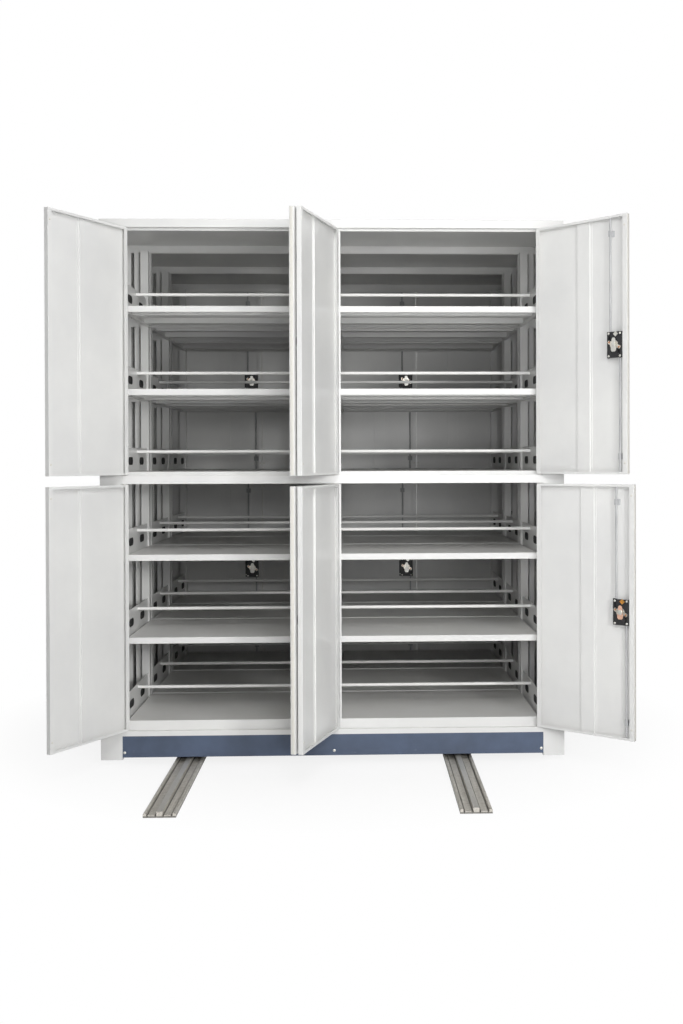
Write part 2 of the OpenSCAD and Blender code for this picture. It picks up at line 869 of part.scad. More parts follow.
// Height of a lock's spindle above the floor
function spindle_z(tier) = door_low(tier) + door_height(tier) / 2 + lock_rise;

// Puts a door's own frame in place: the pin at the origin, the door towards +X, its face at -Y
module at_pin(n, turn) {
    hinged_left = n == 1 || n == 3;
    outer_left = n == 1 || n == 2;
    translate([(outer_left ? -1 : 1) * pin_x(n), pin_back, 0])
        mirror([hinged_left ? 0 : 1, 0, 0])
            rotate([0, 0, -turn])
                children();
}

// One door: a shallow pan with folded lips, a hat-shaped stiffener, a hole for the lock and two
// hinge pins
module door(tier, n) {
    h = door_height(tier);
    z0 = door_low(tier);
    z1 = z0 + h;
    x0 = -pin_in(n);
    x1 = x0 + door_w;
    y0 = -pin_back;
    y1 = y0 + door_t;
    t = skin_t;
    m = t / 2;
    rib_mid = x0 + door_w / 2 + door_rib_shift;
    rib = [rib_mid - door_rib_w / 2, rib_mid + door_rib_w / 2];
    rib_y = y0 + t + door_rib_h - m;
    color(enamel)
        difference() {
            union() {
                along_z(z0, z1) {
                    folded([[x0 + door_lip, y1 - m], [x0 + m, y1 - m], [x0 + m, y0 + m], [x1 - m, y0 + m],
                            [x1 - m, y1 - m], [x1 - door_lip, y1 - m]], t);
                    folded([[rib[0] - rib_foot, y0 + t + m], [rib[0], y0 + t + m], [rib[0], rib_y],
                            [rib[1], rib_y], [rib[1], y0 + t + m], [rib[1] + rib_foot, y0 + t + m]], t);
                }
                along_x(x0 + m, x1 - m) {
                    folded([[y0 + m, z0 + m], [y1 - m, z0 + m], [y1 - m, z0 + door_end_lip]], t);
                    folded([[y0 + m, z1 - m], [y1 - m, z1 - m], [y1 - m, z1 - door_end_lip]], t);
                }
                for (z = [z0 - pin_reach, z1 - door_end_lip])
                    translate([0, 0, z])
                        cylinder(d = pin_dia, h = pin_reach + door_end_lip);
            }
            if (n == 2 || n == 4)
                translate([spindle_x(n), y0 - 1, spindle_z(tier)])
                    rotate([-90, 0, 0])
                        cylinder(r = cup_r + 2 * t, h = t + 2);
        }
}

// The cup in a door's face: a flange, a wall and a floor, with the handle's hollow cut out
module lock_cup(y0) {
    bore_r = spindle_dia / 2 + running_fit;
    rotate([-90, 0, 0])
        rotate_extrude()
            polygon([
                [bore_r, y0 + cup_depth + cup_wall], [bore_r, y0 + cup_depth], [cup_r, y0 + cup_depth],
                [cup_r, y0 - lock_proud], [cup_r + 4, y0 - lock_proud], [cup_r + 6, y0 - lock_proud / 2],
                [cup_r + 6, y0], [cup_r + cup_wall, y0], [cup_r + cup_wall, y0 + cup_depth + cup_wall]
            ]);
}

// The case behind the cup: a folded bridge on two feet with windows for the rods' driving pins
module lock_case(y0, y1) {
    t = 2;
    foot_w = 9;
    leg_x = case_w / 2 - t / 2;
    foot_y = y0 + skin_t + t / 2;
    roof_y = y1 + lock_proud - t / 2;
    stroke = 24;
    difference() {
        along_z(-case_h / 2, case_h / 2)
            folded([[-leg_x - foot_w, foot_y], [-leg_x, foot_y], [-leg_x, roof_y],
                    [leg_x, roof_y], [leg_x, foot_y], [leg_x + foot_w, foot_y]], t);
        rotate([-90, 0, 0])
            cylinder(r = spindle_dia / 2 + running_fit, h = roof_y + t);
        for (a = [0, 180])
            rotate([0, a, 0]) {
                block([-lock_rod_x - rod_pin_dia, roof_y - t, rod_pin_z],
                      [-lock_rod_x + rod_pin_dia, roof_y + t, rod_pin_z + stroke]);
                for (z = [rod_pin_z, rod_pin_z + stroke])
                    translate([-lock_rod_x, roof_y - t, z])
                        rotate([-90, 0, 0])
                            cylinder(r = rod_pin_dia, h = 2 * t);
            }
    }
}

// The upper locking rod, with its flat driving end and its pin, up to the height z1
module lock_rod(y0, y1, z1) {
    flat_y = y0 + cup_depth + cup_wall;
    flat_t = 2;
    flat_w = 12;
    start_z = cup_r + 4;
    rod_y = flat_y + flat_t / 2;
    translate([-lock_rod_x, rod_y, start_z])
        cylinder(d = lock_rod_dia, h = z1 - start_z);
    block([-lock_rod_x - flat_w / 2, flat_y, rod_pin_z],
          [-lock_rod_x + flat_w / 2, flat_y + flat_t, start_z + 10]);
    translate([-lock_rod_x, flat_y, rod_pin_z])
        rotate([-90, 0, 0])
            cylinder(d = flat_w, h = flat_t);
    translate([-lock_rod_x, flat_y, rod_pin_z])
        rotate([-90, 0, 0])
            cylinder(d = rod_pin_dia, h = y1 + lock_proud + 4 - flat_y);
}

// A strap over a locking rod that keeps it on the door's sheet
module rod_guide(y0, z) {
    t = skin_t;
    rod_y = y0 + cup_depth + cup_wall + 1;
    half = lock_rod_dia / 2 + seat_play + t / 2;
    foot_y = y0 + 1.5 * t;
    along_z(z - guide_h / 2, z + guide_h / 2)
        translate([-lock_rod_x, 0])
            folded([[-2.5 * half, foot_y], [-half, foot_y], [-half, rod_y + half], [half, rod_y + half],
                    [half, foot_y], [2.5 * half, foot_y]], t);
}

// The fixed part of a lock: the cup, the case, and a rod with its strap above and below it
module lock(tier, n) {
    y0 = -pin_back;
    y1 = y0 + door_t;
    reach = door_height(tier) / 2 - skin_t;
    color(black)
        translate([spindle_x(n), 0, spindle_z(tier)]) {
            lock_cup(y0);
            lock_case(y0, y1);
            for (s = [-1, 1])
                rotate([0, s > 0 ? 0 : 180, 0]) {
                    lock_rod(y0, y1, reach - s * lock_rise);
                    rod_guide(y0, reach - s * lock_rise - guide_in);
                }
        }
}

// The notch of a cam's arm that lies along +X: a round seat for the rod's pin, open along the
// circle on which the pin leaves it when the cam turns
module cam_notch(pin_r) {
    notch_r = rod_pin_dia / 2 + seat_play;
    translate([pin_r, 0])
        circle(r = notch_r);
    intersection() {
        difference() {
            circle(r = pin_r + notch_r);
            circle(r = pin_r - notch_r);
        }
        translate([0, -pin_r])
            square([2 * pin_r, pin_r]);
    }
}

// Outline of a lock's cam: a disc with two arms whose open notches hook round the rods' pins
module cam_outline() {
    pin_r = norm([lock_rod_x, rod_pin_z]);
    arm_turn = 180 - atan2(rod_pin_z, lock_rod_x);
    cam_r = 18;
    arm_w = 15;
    difference() {
        union() {
            circle(r = cam_r);
            for (a = [0, 180])
                rotate(a + arm_turn) {
                    translate([0, -arm_w / 2])
                        square([pin_r, arm_w]);
                    translate([pin_r, 0])
                        circle(d = arm_w);
                }
        }
        for (a = [0, 180])
            rotate(a + arm_turn)
                cam_notch(pin_r);
    }
}

// The turning part of a lock: the grip in the cup, the spindle and the cam over the case
module handle(tier, n) {
    y0 = -pin_back;
    y1 = y0 + door_t;
    grip_l = 2 * cup_r - 6;
    grip_w = 13;
    grip_t = cup_depth - 2;
    cam_y = y1 + lock_proud + seat_play;
    cam_t = 3;
    color(brass)
        translate([spindle_x(n), 0, spindle_z(tier)]) {
            translate([0, y0 + 1, 0])
                rotate([-90, 0, 0])
                    cylinder(d = spindle_dia, h = cam_y + cam_t + 1 - y0);
            translate([0, y0 + grip_t, 0])
                rotate([90, 0, 0])
                    linear_extrude(grip_t) {
                        square([grip_w, grip_l - grip_w], center = true);
                        for (s = [-1, 1])
                            translate([0, s * (grip_l - grip_w) / 2])
                                circle(d = grip_w);
                    }
            translate([0, cam_y + cam_t, 0])
                rotate([90, 0, 0])
                    linear_extrude(cam_t)
                        cam_outline();
        }
}

// Places a rolling unit and its parts at the front of the block
module at_front() {
    translate([0, -half_d, 0])
        children();
}

// Places a mirrored rolling unit at the rear
module at_rear() {
    mirror([0, 1, 0])
        at_front()
            children();
}

// Places the unit's inner frame behind its door frame
module behind_frame() {
    translate([0, frame_d, 0])
        children();
}

// Draws a door, a lock or a handle on the front or on the rear face
module door_piece(face, tier, n, piece) {
    turned = face == "front" ? 0 : 180;
    angle = face == "front" ? opening(tier, n) : 0;
    rotate([0, 0, turned])
        at_front()
            at_pin(n, angle)
                if (piece == "door")
                    door(tier, n);
                else if (piece == "lock")
                    lock(tier, n);
                else
                    handle(tier, n);
}

rails();
rail_ties();
middle_base();
translate([0, -unit_d / 2, 0]) uprights();  // middle_uprights
translate([0, -unit_d / 2, 0]) shelves();  // middle_shelves
translate([0, -unit_d / 2, 0]) file_rods();  // middle_file_rods
middle_casing();
buffers();

at_front() carriage_base();  // front_base
at_front() behind_frame() uprights();  // front_uprights
at_front() behind_frame() shelves();  // front_shelves
at_front() behind_frame() file_rods();  // front_file_rods
at_front() carriage_casing();  // front_casing
at_front() door_frame();  // front_door_frame
at_front() chain();  // front_chain
at_front() drive_axle();  // front_drive_axle
at_front() idle_axle();  // front_idle_axle
at_front() hand_wheel();  // front_hand_wheel

at_rear() carriage_base();  // rear_base
at_rear() behind_frame() uprights();  // rear_uprights
at_rear() behind_frame() shelves();  // rear_shelves
at_rear() behind_frame() file_rods();  // rear_file_rods
at_rear() carriage_casing();  // rear_casing
at_rear() door_frame();  // rear_door_frame
at_rear() chain();  // rear_chain
at_rear() drive_axle();  // rear_drive_axle
at_rear() idle_axle();  // rear_idle_axle
at_rear() hand_wheel();  // rear_hand_wheel

for (face = ["front", "rear"], tier = [0, 1], n = [1 : 4])
    let (tier_name = str(face, "_", tier == 0 ? "lower" : "upper")) {
        door_piece(face, tier, n, "door");
        if (n == 2 || n == 4) {
            door_piece(face, tier, n, "lock");
            door_piece(face, tier, n, "handle");
        }
    }
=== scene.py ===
# %% [markdown]
# # Mobile file compactor
#
# The imported CAD solids are the frame of this scene. Each one gets a procedural material, and the small pieces
# that the CAD leaves out are built here: screws and bolts, dark shells that paint the shade in the finger grip
# holes, washers, stops and seals on the doors, the small parts of each lock, and the caps of the hand wheels.
# Blender works in metres, so a value in millimetres has a name that ends in `_mm` or `_MM`, or a
# docstring that says so, and is multiplied by `MM`.

# %% Libraries, the frame and its size before dressing
import json
import math
from functools import partial
from types import SimpleNamespace

import bmesh
import bpy
import numpy as np
from mathutils import Matrix, Vector


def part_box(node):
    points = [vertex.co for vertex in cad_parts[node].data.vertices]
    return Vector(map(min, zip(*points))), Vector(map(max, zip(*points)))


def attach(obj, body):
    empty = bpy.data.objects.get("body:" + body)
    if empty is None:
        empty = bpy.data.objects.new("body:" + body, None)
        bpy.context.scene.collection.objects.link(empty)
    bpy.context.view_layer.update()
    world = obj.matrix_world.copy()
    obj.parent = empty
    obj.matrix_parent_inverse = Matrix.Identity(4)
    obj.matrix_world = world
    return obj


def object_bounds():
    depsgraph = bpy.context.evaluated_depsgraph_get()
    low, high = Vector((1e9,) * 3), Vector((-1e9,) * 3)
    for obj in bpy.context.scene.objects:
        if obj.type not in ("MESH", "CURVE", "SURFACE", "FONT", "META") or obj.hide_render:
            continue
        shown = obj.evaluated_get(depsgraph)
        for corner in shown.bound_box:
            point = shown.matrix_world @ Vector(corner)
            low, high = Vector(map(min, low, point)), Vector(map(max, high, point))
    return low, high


MM = 0.001
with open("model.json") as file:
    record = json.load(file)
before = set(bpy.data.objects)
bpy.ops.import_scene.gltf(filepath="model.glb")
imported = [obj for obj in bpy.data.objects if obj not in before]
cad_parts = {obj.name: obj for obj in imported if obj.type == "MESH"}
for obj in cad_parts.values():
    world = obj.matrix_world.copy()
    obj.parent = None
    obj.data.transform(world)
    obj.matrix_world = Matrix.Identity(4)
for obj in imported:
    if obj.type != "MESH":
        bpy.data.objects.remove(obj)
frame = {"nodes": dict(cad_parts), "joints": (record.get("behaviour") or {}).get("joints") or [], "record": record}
start_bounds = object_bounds()
joints = {j["name"]: j for j in frame["joints"]}
slot_of = {s["node"]: s["material_slot"] for s in frame["record"]["subparts"]}
print("nodes:", len(frame["nodes"]), "joints:", len(joints))

# %% [markdown]
# ## Colours
#
# Paint is chosen from a chart by eye, so each colour below is the sRGB code that a painter would
# read off a chart. A renderer adds up light, and light is linear, so one function turns every code
# into linear values. Typing the linear values would save the function, but nobody can read them.


# %% From a colour code to linear light
def lin(code):
    """Linear RGBA of an sRGB code: c / 12.92 below 0.04045, else ((c + 0.055) / 1.055) ^ 2.4."""
    c = np.array([int(code[i : i + 2], 16) / 255 for i in (1, 3, 5)])
    light = np.where(c <= 0.04045, c / 12.92, ((c + 0.055) / 1.055) ** 2.4)
    return (*light.tolist(), 1.0)


print("mid grey in linear light:", [round(v, 3) for v in lin("#808080")])

# %% [markdown]
# ## A short way to write shader nodes
#
# Finishes on steel furniture vary all over a sheet, so each material is a small node tree and not
# one colour. The trees could be drawn by hand in the shader editor, but a script can be read and
# run again. One function adds a node with its settings and links, and each finish is a recipe of
# such calls. Patterns use Object coordinates, which are metres in the frame. Image textures would
# need UV maps and files, and they would stretch on folded sheet.


# %% One function that adds a node
def wire(tree, node, inputs):
    """Fills a node's inputs by name or number: an output is linked, a colour code is made linear,
    and any other value is set on the socket."""
    for key, value in inputs.items():
        if isinstance(value, bpy.types.NodeSocket):
            tree.links.new(value, node.inputs[key])
        else:
            node.inputs[key].default_value = lin(value) if isinstance(value, str) else value


def add(tree, kind, inputs=None, out=0, **settings):
    """Adds a node of a kind with its settings and inputs, a list in socket order or a dictionary,
    and returns one of its outputs."""
    node = tree.nodes.new("ShaderNode" + kind)
    for key, value in settings.items():
        setattr(node, key, value)
    wire(tree, node, dict(enumerate(inputs)) if isinstance(inputs, list) else inputs or {})
    return node.outputs[out]


# A Mix node that blends colours takes its share on input 0 and the colours on inputs 6 and 7.
BLEND = {"out": 2, "data_type": "RGBA"}
TIMES, PLUS, MINUS = {"operation": "MULTIPLY"}, {"operation": "ADD"}, {"operation": "SUBTRACT"}
print("a blend gives output", BLEND["out"], "of its node")


# %% A new finish
class Finish:
    """A new material with its tree, its Principled shader and `at`, the Object coordinates."""

    def __init__(self, name):
        self.mat = bpy.data.materials.new(name)
        self.mat.use_nodes = True
        self.tree = self.mat.node_tree
        self.shader = self.tree.nodes["Principled BSDF"]
        self.add = partial(add, self.tree)
        self.at = self.add("TexCoord", out="Object")

    def done(self, **inputs):
        """Fills the shader's inputs, written with _ for a space, and returns the material."""
        wire(self.tree, self.shader, {key.replace("_", " "): v for key, v in inputs.items()})
        print("finish:", self.mat.name, "with", len(self.tree.nodes), "nodes")
        return self.mat


# %% Patches, and faces that look up
def cells(size_mm):
    """Scale of a pattern with cells of that size: one divided by the size in metres."""
    return 1 / (size_mm * MM)


def clouds(s, size_mm, start, full, least=0.0, most=1.0, detail=3.0, rough=0.5, at=None):
    """Cloudy patches of that size: least where a noise is under start, most where it is over full,
    and a straight ramp between the two."""
    inputs = {"Vector": at or s.at, "Scale": cells(size_mm), "Detail": detail, "Roughness": rough}
    return s.add("MapRange", [s.add("TexNoise", inputs), start, full, least, most])


def upward(s):
    """1 on faces that look up, 0 on the others: the normal's Z, ramped from 0.7 to 0.95."""
    normal = s.add("NewGeometry", out="Normal")
    return s.add("MapRange", [s.add("SeparateXYZ", [normal], out="Z"), 0.7, 0.95])


# %% [markdown]
# ## Powder coat
#
# Doors, shelves, casings and rods are cold rolled steel sheet with a baked polyester powder coat.
# It gives the eye an even satin white with a faint orange peel, a slow drift in tone, wiping marks
# that change the gloss, and dust where a face looks up. The peel could be modelled as real bumps,
# but they are a few hundredths of a millimetre high, so a bump in the material is enough. The
# cells of real peel are about 3 mm wide, and so are these. Polyester has the default IOR of 1.5.
# The thin rods above the shelves get a paler copy of the coat, a painted highlight for the light that falls on
# them.

# %% Powder coated sheet
DUST = "#CFCBC2"


def powder_coat(name, colour, shade, gloss, dust):
    """Satin coat with that roughness. dust is the most that settles on an upward face."""
    s = Finish(name)
    drift = clouds(s, 384.62, 0.35, 0.65, detail=4.0, rough=0.55)
    coat = s.add("Mix", {0: drift, 6: colour, 7: shade}, **BLEND)
    fine = clouds(s, 26.316, 0.3, 0.75, 0.0, 0.15, detail=5.0, rough=0.7)
    coat = s.add("Mix", {0: fine, 6: coat, 7: shade}, **BLEND)
    cover = clouds(s, 111.11, 0.35, 0.8, 0.1, dust, detail=6.0, rough=0.7)
    settled = s.add("Math", [upward(s), cover], **TIMES)
    wiping = s.add("Mapping", {"Vector": s.at, "Scale": (1.0, 1.0, 0.35)})
    smear = clouds(s, 166.67, 0.3, 0.7, gloss - 0.01, gloss + 0.05, 5.0, 0.65, wiping)
    peel = s.add("TexVoronoi", {"Vector": s.at, "Scale": cells(3.0303)}, out="Distance")
    ripple = s.add("TexNoise", {"Vector": s.at, "Scale": cells(8.3333), "Detail": 2.0})
    rise = s.add("Math", [s.add("Math", [peel, 0.4], **TIMES), ripple], **PLUS)
    return s.done(
        Base_Color=s.add("Mix", {0: settled, 6: coat, 7: DUST}, **BLEND),
        Roughness=s.add("Math", [smear, s.add("Math", [settled, 0.3], **TIMES)], **PLUS),
        Normal=s.add("Bump", {"Height": rise, "Strength": 0.06, "Distance": 0.04 * MM}))


# %% Coats of the doors, frames, rods and shelves
finishes = {}
finishes["door_enamel"] = powder_coat("door enamel", "#E4E4E2", "#DBDBDA", 0.3, 0.12)
finishes["frame_enamel"] = powder_coat("frame enamel", "#E4E4E2", "#DBDBDA", 0.3, 0.2)
# The rods' paler copy of the coat is painted light: it stands for the light that falls on them.
finishes["rod_enamel"] = powder_coat("rod enamel painted light", "#F8F8F6", "#F0F0EE", 0.3, 0.1)
finishes["shelf_enamel"] = powder_coat("shelf enamel", "#DEDEDC", "#DBDBDA", 0.3, 0.3)

# %% [markdown]
# ## Enamel of the base
#
# The kick plate and the beams wear a blue-grey coat of the same kind. Shoes and mops reach it, so
# it gives the eye pale scuffs low down and dust on its ledges. Scuffs could be painted by hand on a
# picture. Here a scuff is a long patch of noise, 18 mm high, that a ramp over the height thins out.

# %% Scuffed blue-grey enamel
BASE_BLUE, BASE_BLUE_DARK, BASE_SCUFF = "#4E5B72", "#414B5D", "#8B93A3"


def scuffed_enamel(name):
    """Blue-grey coat with pale scuffs that thin out from 30 to 75 mm above the floor."""
    s = Finish(name)
    drift = clouds(s, 200, 0.35, 0.68, detail=5.0, rough=0.6)
    coat = s.add("Mix", {0: drift, 6: BASE_BLUE, 7: BASE_BLUE_DARK}, **BLEND)
    height = s.add("SeparateXYZ", [s.at], out="Z")
    low_down = s.add("MapRange", [height, 30 * MM, 75 * MM, 1.0, 0.15])
    along = s.add("Mapping", {"Vector": s.at, "Scale": (0.35, 1.0, 1.0)})
    scuff = clouds(s, 18.182, 0.62, 0.74, 0.0, 0.5, 8.0, 0.72, along)
    worn = s.add("Math", [scuff, low_down], **TIMES)
    scuffed = s.add("Mix", {0: worn, 6: coat, 7: BASE_SCUFF}, **BLEND)
    dusty = s.add("Math", [upward(s), 0.45], **TIMES)
    satin = clouds(s, 125, 0.3, 0.7, 0.36, 0.5, detail=4.0)
    peel = s.add("TexNoise", {"Vector": s.at, "Scale": cells(3.8462), "Detail": 2.0})
    return s.done(
        Base_Color=s.add("Mix", {0: dusty, 6: scuffed, 7: DUST}, **BLEND),
        Roughness=s.add("Math", [satin, s.add("Math", [worn, 0.3], **TIMES)], **PLUS),
        Normal=s.add("Bump", {"Height": peel, "Strength": 0.2, "Distance": 0.12 * MM}))


finishes["base_paint"] = scuffed_enamel("base enamel")

# %% [markdown]
# ## Galvanised steel
#
# The rails are roll formed from hot dip galvanised strip. Cooling zinc grows crystals about 12 mm wide, rolling
# draws streaks along the rail, a little rust comes through in patches, the grooves are painted dark grey for the
# shade that falls in them, and the wheels polish the running bar. Voronoi cells make the crystals, and noise that
# is stretched along Y makes the streaks, 4.5 mm wide. The grooves' painted shade and the polish could be painted
# on a picture, but both lie at known heights of the section, so they follow the height.

# %% Spangled zinc with streaks, dirt and a polished bar
ZINC, ZINC_DARK, ZINC_BRIGHT = "#CCC8C0", "#ADA89E", "#E2DFD8"
# The last colour of this row is painted shade for the rail's grooves.
ZINC_ROLLED, RUST, GROOVE_SHADE = "#D2D0CB", "#8A7157", "#4B4A47"


def galvanised(name):
    """Galvanised steel. Painted shade in the grooves fades out from 4.5 to 8 mm up; the bar is bright above 21 mm.
    """
    s = Finish(name)
    grown = {"Vector": s.at, "Scale": cells(11.765)}
    crystal = s.add("SeparateColor", [s.add("TexVoronoi", grown, out="Color", feature="F1")])
    tone = s.add("MapRange", [crystal, 0.1, 0.9, 0.0, 0.55])
    zinc = s.add("Mix", {0: tone, 6: ZINC, 7: ZINC_DARK}, **BLEND)
    drawn = s.add("Mapping", {"Vector": s.at, "Scale": (1.0, 0.018, 1.0)})
    streak = s.add("TexNoise", {"Vector": drawn, "Scale": cells(4.5455), "Detail": 5.0,
                                "Roughness": 0.6})
    bright = s.add("MapRange", [streak, 0.45, 0.72, 0.0, 0.6])
    zinc = s.add("Mix", {0: bright, 6: zinc, 7: ZINC_BRIGHT}, **BLEND)
    wet = s.add("Mapping", {"Vector": s.at, "Scale": (1.0, 0.3, 1.0)})
    rust = clouds(s, 29.412, 0.6, 0.72, 0.0, 0.35, 8.0, 0.75, wet)
    zinc = s.add("Mix", {0: rust, 6: zinc, 7: RUST}, **BLEND)
    height = s.add("SeparateXYZ", [s.at], out="Z")
    # Painted shade: the floor of each groove is darker and duller, where shade falls.
    groove = s.add("MapRange", [height, 4.5 * MM, 8 * MM, 0.75, 0.0])
    zinc = s.add("Mix", {0: groove, 6: zinc, 7: GROOVE_SHADE}, **BLEND)
    rolled = s.add("MapRange", [height, 21.2 * MM, 21.8 * MM])
    polish = s.add("Math", [rolled, 0.7], **TIMES)
    matt = s.add("MapRange", [streak, 0.3, 0.7, 0.42, 0.6])
    pits = s.add("TexNoise", {"Vector": s.at, "Scale": cells(11.111), "Detail": 5.0})
    rise = s.add("Math", [streak, pits], **PLUS)
    return s.done(
        Base_Color=s.add("Mix", {0: polish, 6: zinc, 7: ZINC_ROLLED}, **BLEND),
        Metallic=s.add("MapRange", [groove, 0.2, 0.7, 0.45, 0.1]),
        Roughness=s.add("Math", [matt, s.add("Math", [rolled, 0.16], **TIMES)], **MINUS),
        Normal=s.add("Bump", {"Height": rise, "Strength": 0.3, "Distance": 0.2 * MM}))


finishes["rail_zinc"] = galvanised("rail zinc")

# %% [markdown]
# ## Turned steel
#
# Wheels, axles, hand wheels and chains are turned or drawn from bare steel. They give the eye a
# grey metal with fine tool marks and thin dark oil in patches of 45 mm. The marks run round X, so
# the noise is stretched on Y and Z. Real marks are 0.2 mm apart and wouldn't show in the render, so
# they are drawn about 1 mm apart. An anisotropic shader could draw the sheen, but not the single
# marks, which show close up.

# %% Machined and oiled
STEEL, STEEL_DARK, OIL = "#A4A5A8", "#7C7D80", "#55524C"


def turned_steel(name, gloss):
    """Machined steel of that roughness: marks along X, with patches of dark oil."""
    s = Finish(name)
    round_x = s.add("Mapping", {"Vector": s.at, "Scale": (1.0, 0.04, 0.04)})
    marks = s.add("TexNoise", {"Vector": round_x, "Scale": cells(1.1111), "Detail": 3.0,
                               "Roughness": 0.6})
    dark = s.add("MapRange", [marks, 0.35, 0.65, 0.0, 0.4])
    metal = s.add("Mix", {0: dark, 6: STEEL, 7: STEEL_DARK}, **BLEND)
    oil = clouds(s, 45.455, 0.48, 0.7, 0.0, 0.5, detail=6.0, rough=0.65)
    matt = s.add("MapRange", [marks, 0.3, 0.7, gloss - 0.06, gloss + 0.1])
    return s.done(
        Base_Color=s.add("Mix", {0: oil, 6: metal, 7: OIL}, **BLEND),
        Metallic=1.0,
        Roughness=s.add("Math", [matt, s.add("Math", [oil, 0.15], **TIMES)], **PLUS),
        Normal=s.add("Bump", {"Height": marks, "Strength": 0.15, "Distance": 0.05 * MM}))


finishes["running_steel"] = turned_steel("running steel", 0.34)

# %% [markdown]
# ## Plated metal
#
# Handles are die cast and nickel plated, screws are stamped and zinc plated, and the staple of a lock is brass.
# The copper of the rod pins' heads and the pale pink of a lock's leaf are a painted reflection of the pinkish
# light that shows on the lock. Such metal gives the eye a bright tone that has worn to a second one in patches.
# Real wear shows first on edges, which the Geometry node's Pointiness could find, but the parts are so small that
# patches of 7 mm read as the same thing. The grain of real plate is too fine to show, so it is drawn 1.4 mm wide.
# A metal keeps the default IOR, because its colour decides what it reflects.


# %% Plate that has worn in patches
def plated(name, colour, worn, gloss):
    """Plated metal of that roughness, worn to a second tone in patches of 7 mm."""
    s = Finish(name)
    patch = clouds(s, 6.6667, 0.52, 0.66, 0.0, 0.5, detail=6.0, rough=0.7)
    grain = s.add("TexNoise", {"Vector": s.at, "Scale": cells(1.42857), "Detail": 2.0})
    return s.done(
        Base_Color=s.add("Mix", {0: patch, 6: colour, 7: worn}, **BLEND),
        Metallic=1.0,
        Roughness=clouds(s, 3.125, 0.3, 0.7, gloss - 0.05, gloss + 0.12, detail=4.0),
        Normal=s.add("Bump", {"Height": grain, "Strength": 0.1, "Distance": 0.04 * MM}))


finishes["handle_brass"] = plated("worn nickel plate", "#DAD6CC", "#B98F5E", 0.24)
finishes["screw_zinc"] = plated("zinc plate", "#D9D8D2", "#B7B2A6", 0.3)
# Painted highlight: the copper colour of the pin heads stands for the pinkish light on the lock.
finishes["copper"] = plated("pin heads painted copper highlight", "#C7906A", "#8F6242", 0.32)
# Painted reflection: the pale pink leaf stands for the pinkish light on the lock.
finishes["leaf_pink_reflection"] = plated("leaf painted pink reflection", "#E9BFA9", "#C98F6C", 0.42)
finishes["staple_brass"] = plated("brass staple", "#D09A52", "#A06F35", 0.4)

# %% [markdown]
# ## Rubber and moulded plastics
#
# The buffers are extruded rubber, the hub caps moulded ABS, and the washers, stops and seals nylon. They give the
# eye a matt surface with a fine grain, greyer where it is rubbed. The same near-black matt finish paints the shade
# in the finger grip holes and in the key slots.
# The grain of moulded plastic is 0.1 mm and wouldn't show, so it is drawn about 2 mm wide. All of
# them have an IOR near the default of 1.5.


# %% Matt plastic and rubber
def matt_plastic(name, colour, rubbed_colour, gloss, grain_mm):
    """Matt plastic or rubber with a grain of that size and rubbed patches of 17 mm."""
    s = Finish(name)
    rubbed = clouds(s, 16.667, 0.5, 0.75, 0.0, 0.35, detail=6.0, rough=0.7)
    grain = s.add("TexNoise", {"Vector": s.at, "Scale": cells(grain_mm), "Detail": 3.0})
    return s.done(
        Base_Color=s.add("Mix", {0: rubbed, 6: colour, 7: rubbed_colour}, **BLEND),
        Roughness=clouds(s, 11.111, 0.3, 0.7, gloss - 0.06, gloss + 0.08, detail=4.0),
        Normal=s.add("Bump", {"Height": grain, "Strength": 0.25, "Distance": 0.08 * MM}))


finishes["buffer_rubber"] = matt_plastic("extruded rubber", "#1A1A1B", "#3B3A39", 0.72, 2.0)
# Painted shade: a near-black finish for the shade in the finger grip holes.
finishes["grip_hole_shade"] = matt_plastic("grip hole painted shade", "#161617", "#242425", 0.6, 1.66667)
# Black ABS for the hub caps, and painted shade for the key slots.
finishes["keyhole"] = matt_plastic("black ABS and painted slot shade", "#101010", "#1E1E1E", 0.6, 1.25)
finishes["nylon"] = matt_plastic("moulded nylon", "#D8D6CF", "#C8C5BC", 0.45, 2.5)

# %% [markdown]
# ## Black lock cases and zinc rods
#
# A lock's case and cup are stamped steel in black stoving enamel, while its two rods are dull zinc.
# Case and rods are one CAD node. Splitting the mesh would allow two materials, but a CAD node's
# mesh isn't changed here, so the material goes by the height: black within 53 mm of the lock's
# spindle, where the case ends, and zinc above and below it.

# %% Black near the spindle, zinc beyond the case
CASE_HALF_MM, CASE_EDGE_MM = 53, 0.2
LOCK_BLACK, LOCK_RUBBED, ROD_GREY, ROD_PALE = "#1B1B1D", "#3A3A3D", "#A6A7A9", "#BCBDBE"


def lock_enamel(name, centres):
    """Black near the heights of the locks, zinc elsewhere: the distance from a lock is the smaller
    of |z - c1| and |z - c2|."""
    s = Finish(name)
    height = s.add("SeparateXYZ", [s.at], out="Z")
    away = [s.add("Math", [height, centre], **MINUS) for centre in centres]
    near = [s.add("Math", [distance], operation="ABSOLUTE") for distance in away]
    closest = s.add("Math", near, operation="MINIMUM")
    edge = CASE_HALF_MM * MM
    rod = s.add("MapRange", [closest, edge, edge + CASE_EDGE_MM * MM])
    rubbed = clouds(s, 16.667, 0.5, 0.75, 0.0, 0.35, detail=6.0, rough=0.7)
    black = s.add("Mix", {0: rubbed, 6: LOCK_BLACK, 7: LOCK_RUBBED}, **BLEND)
    tone = clouds(s, 111.11, 0.35, 0.65, detail=4.0)
    zinc = s.add("Mix", {0: tone, 6: ROD_GREY, 7: ROD_PALE}, **BLEND)
    grain = s.add("TexNoise", {"Vector": s.at, "Scale": cells(1.66667), "Detail": 3.0})
    return s.done(
        Base_Color=s.add("Mix", {0: rod, 6: black, 7: zinc}, **BLEND),
        Roughness=clouds(s, 11.111, 0.3, 0.7, 0.36, 0.5, detail=4.0),
        Normal=s.add("Bump", {"Height": grain, "Strength": 0.2, "Distance": 0.08 * MM}))


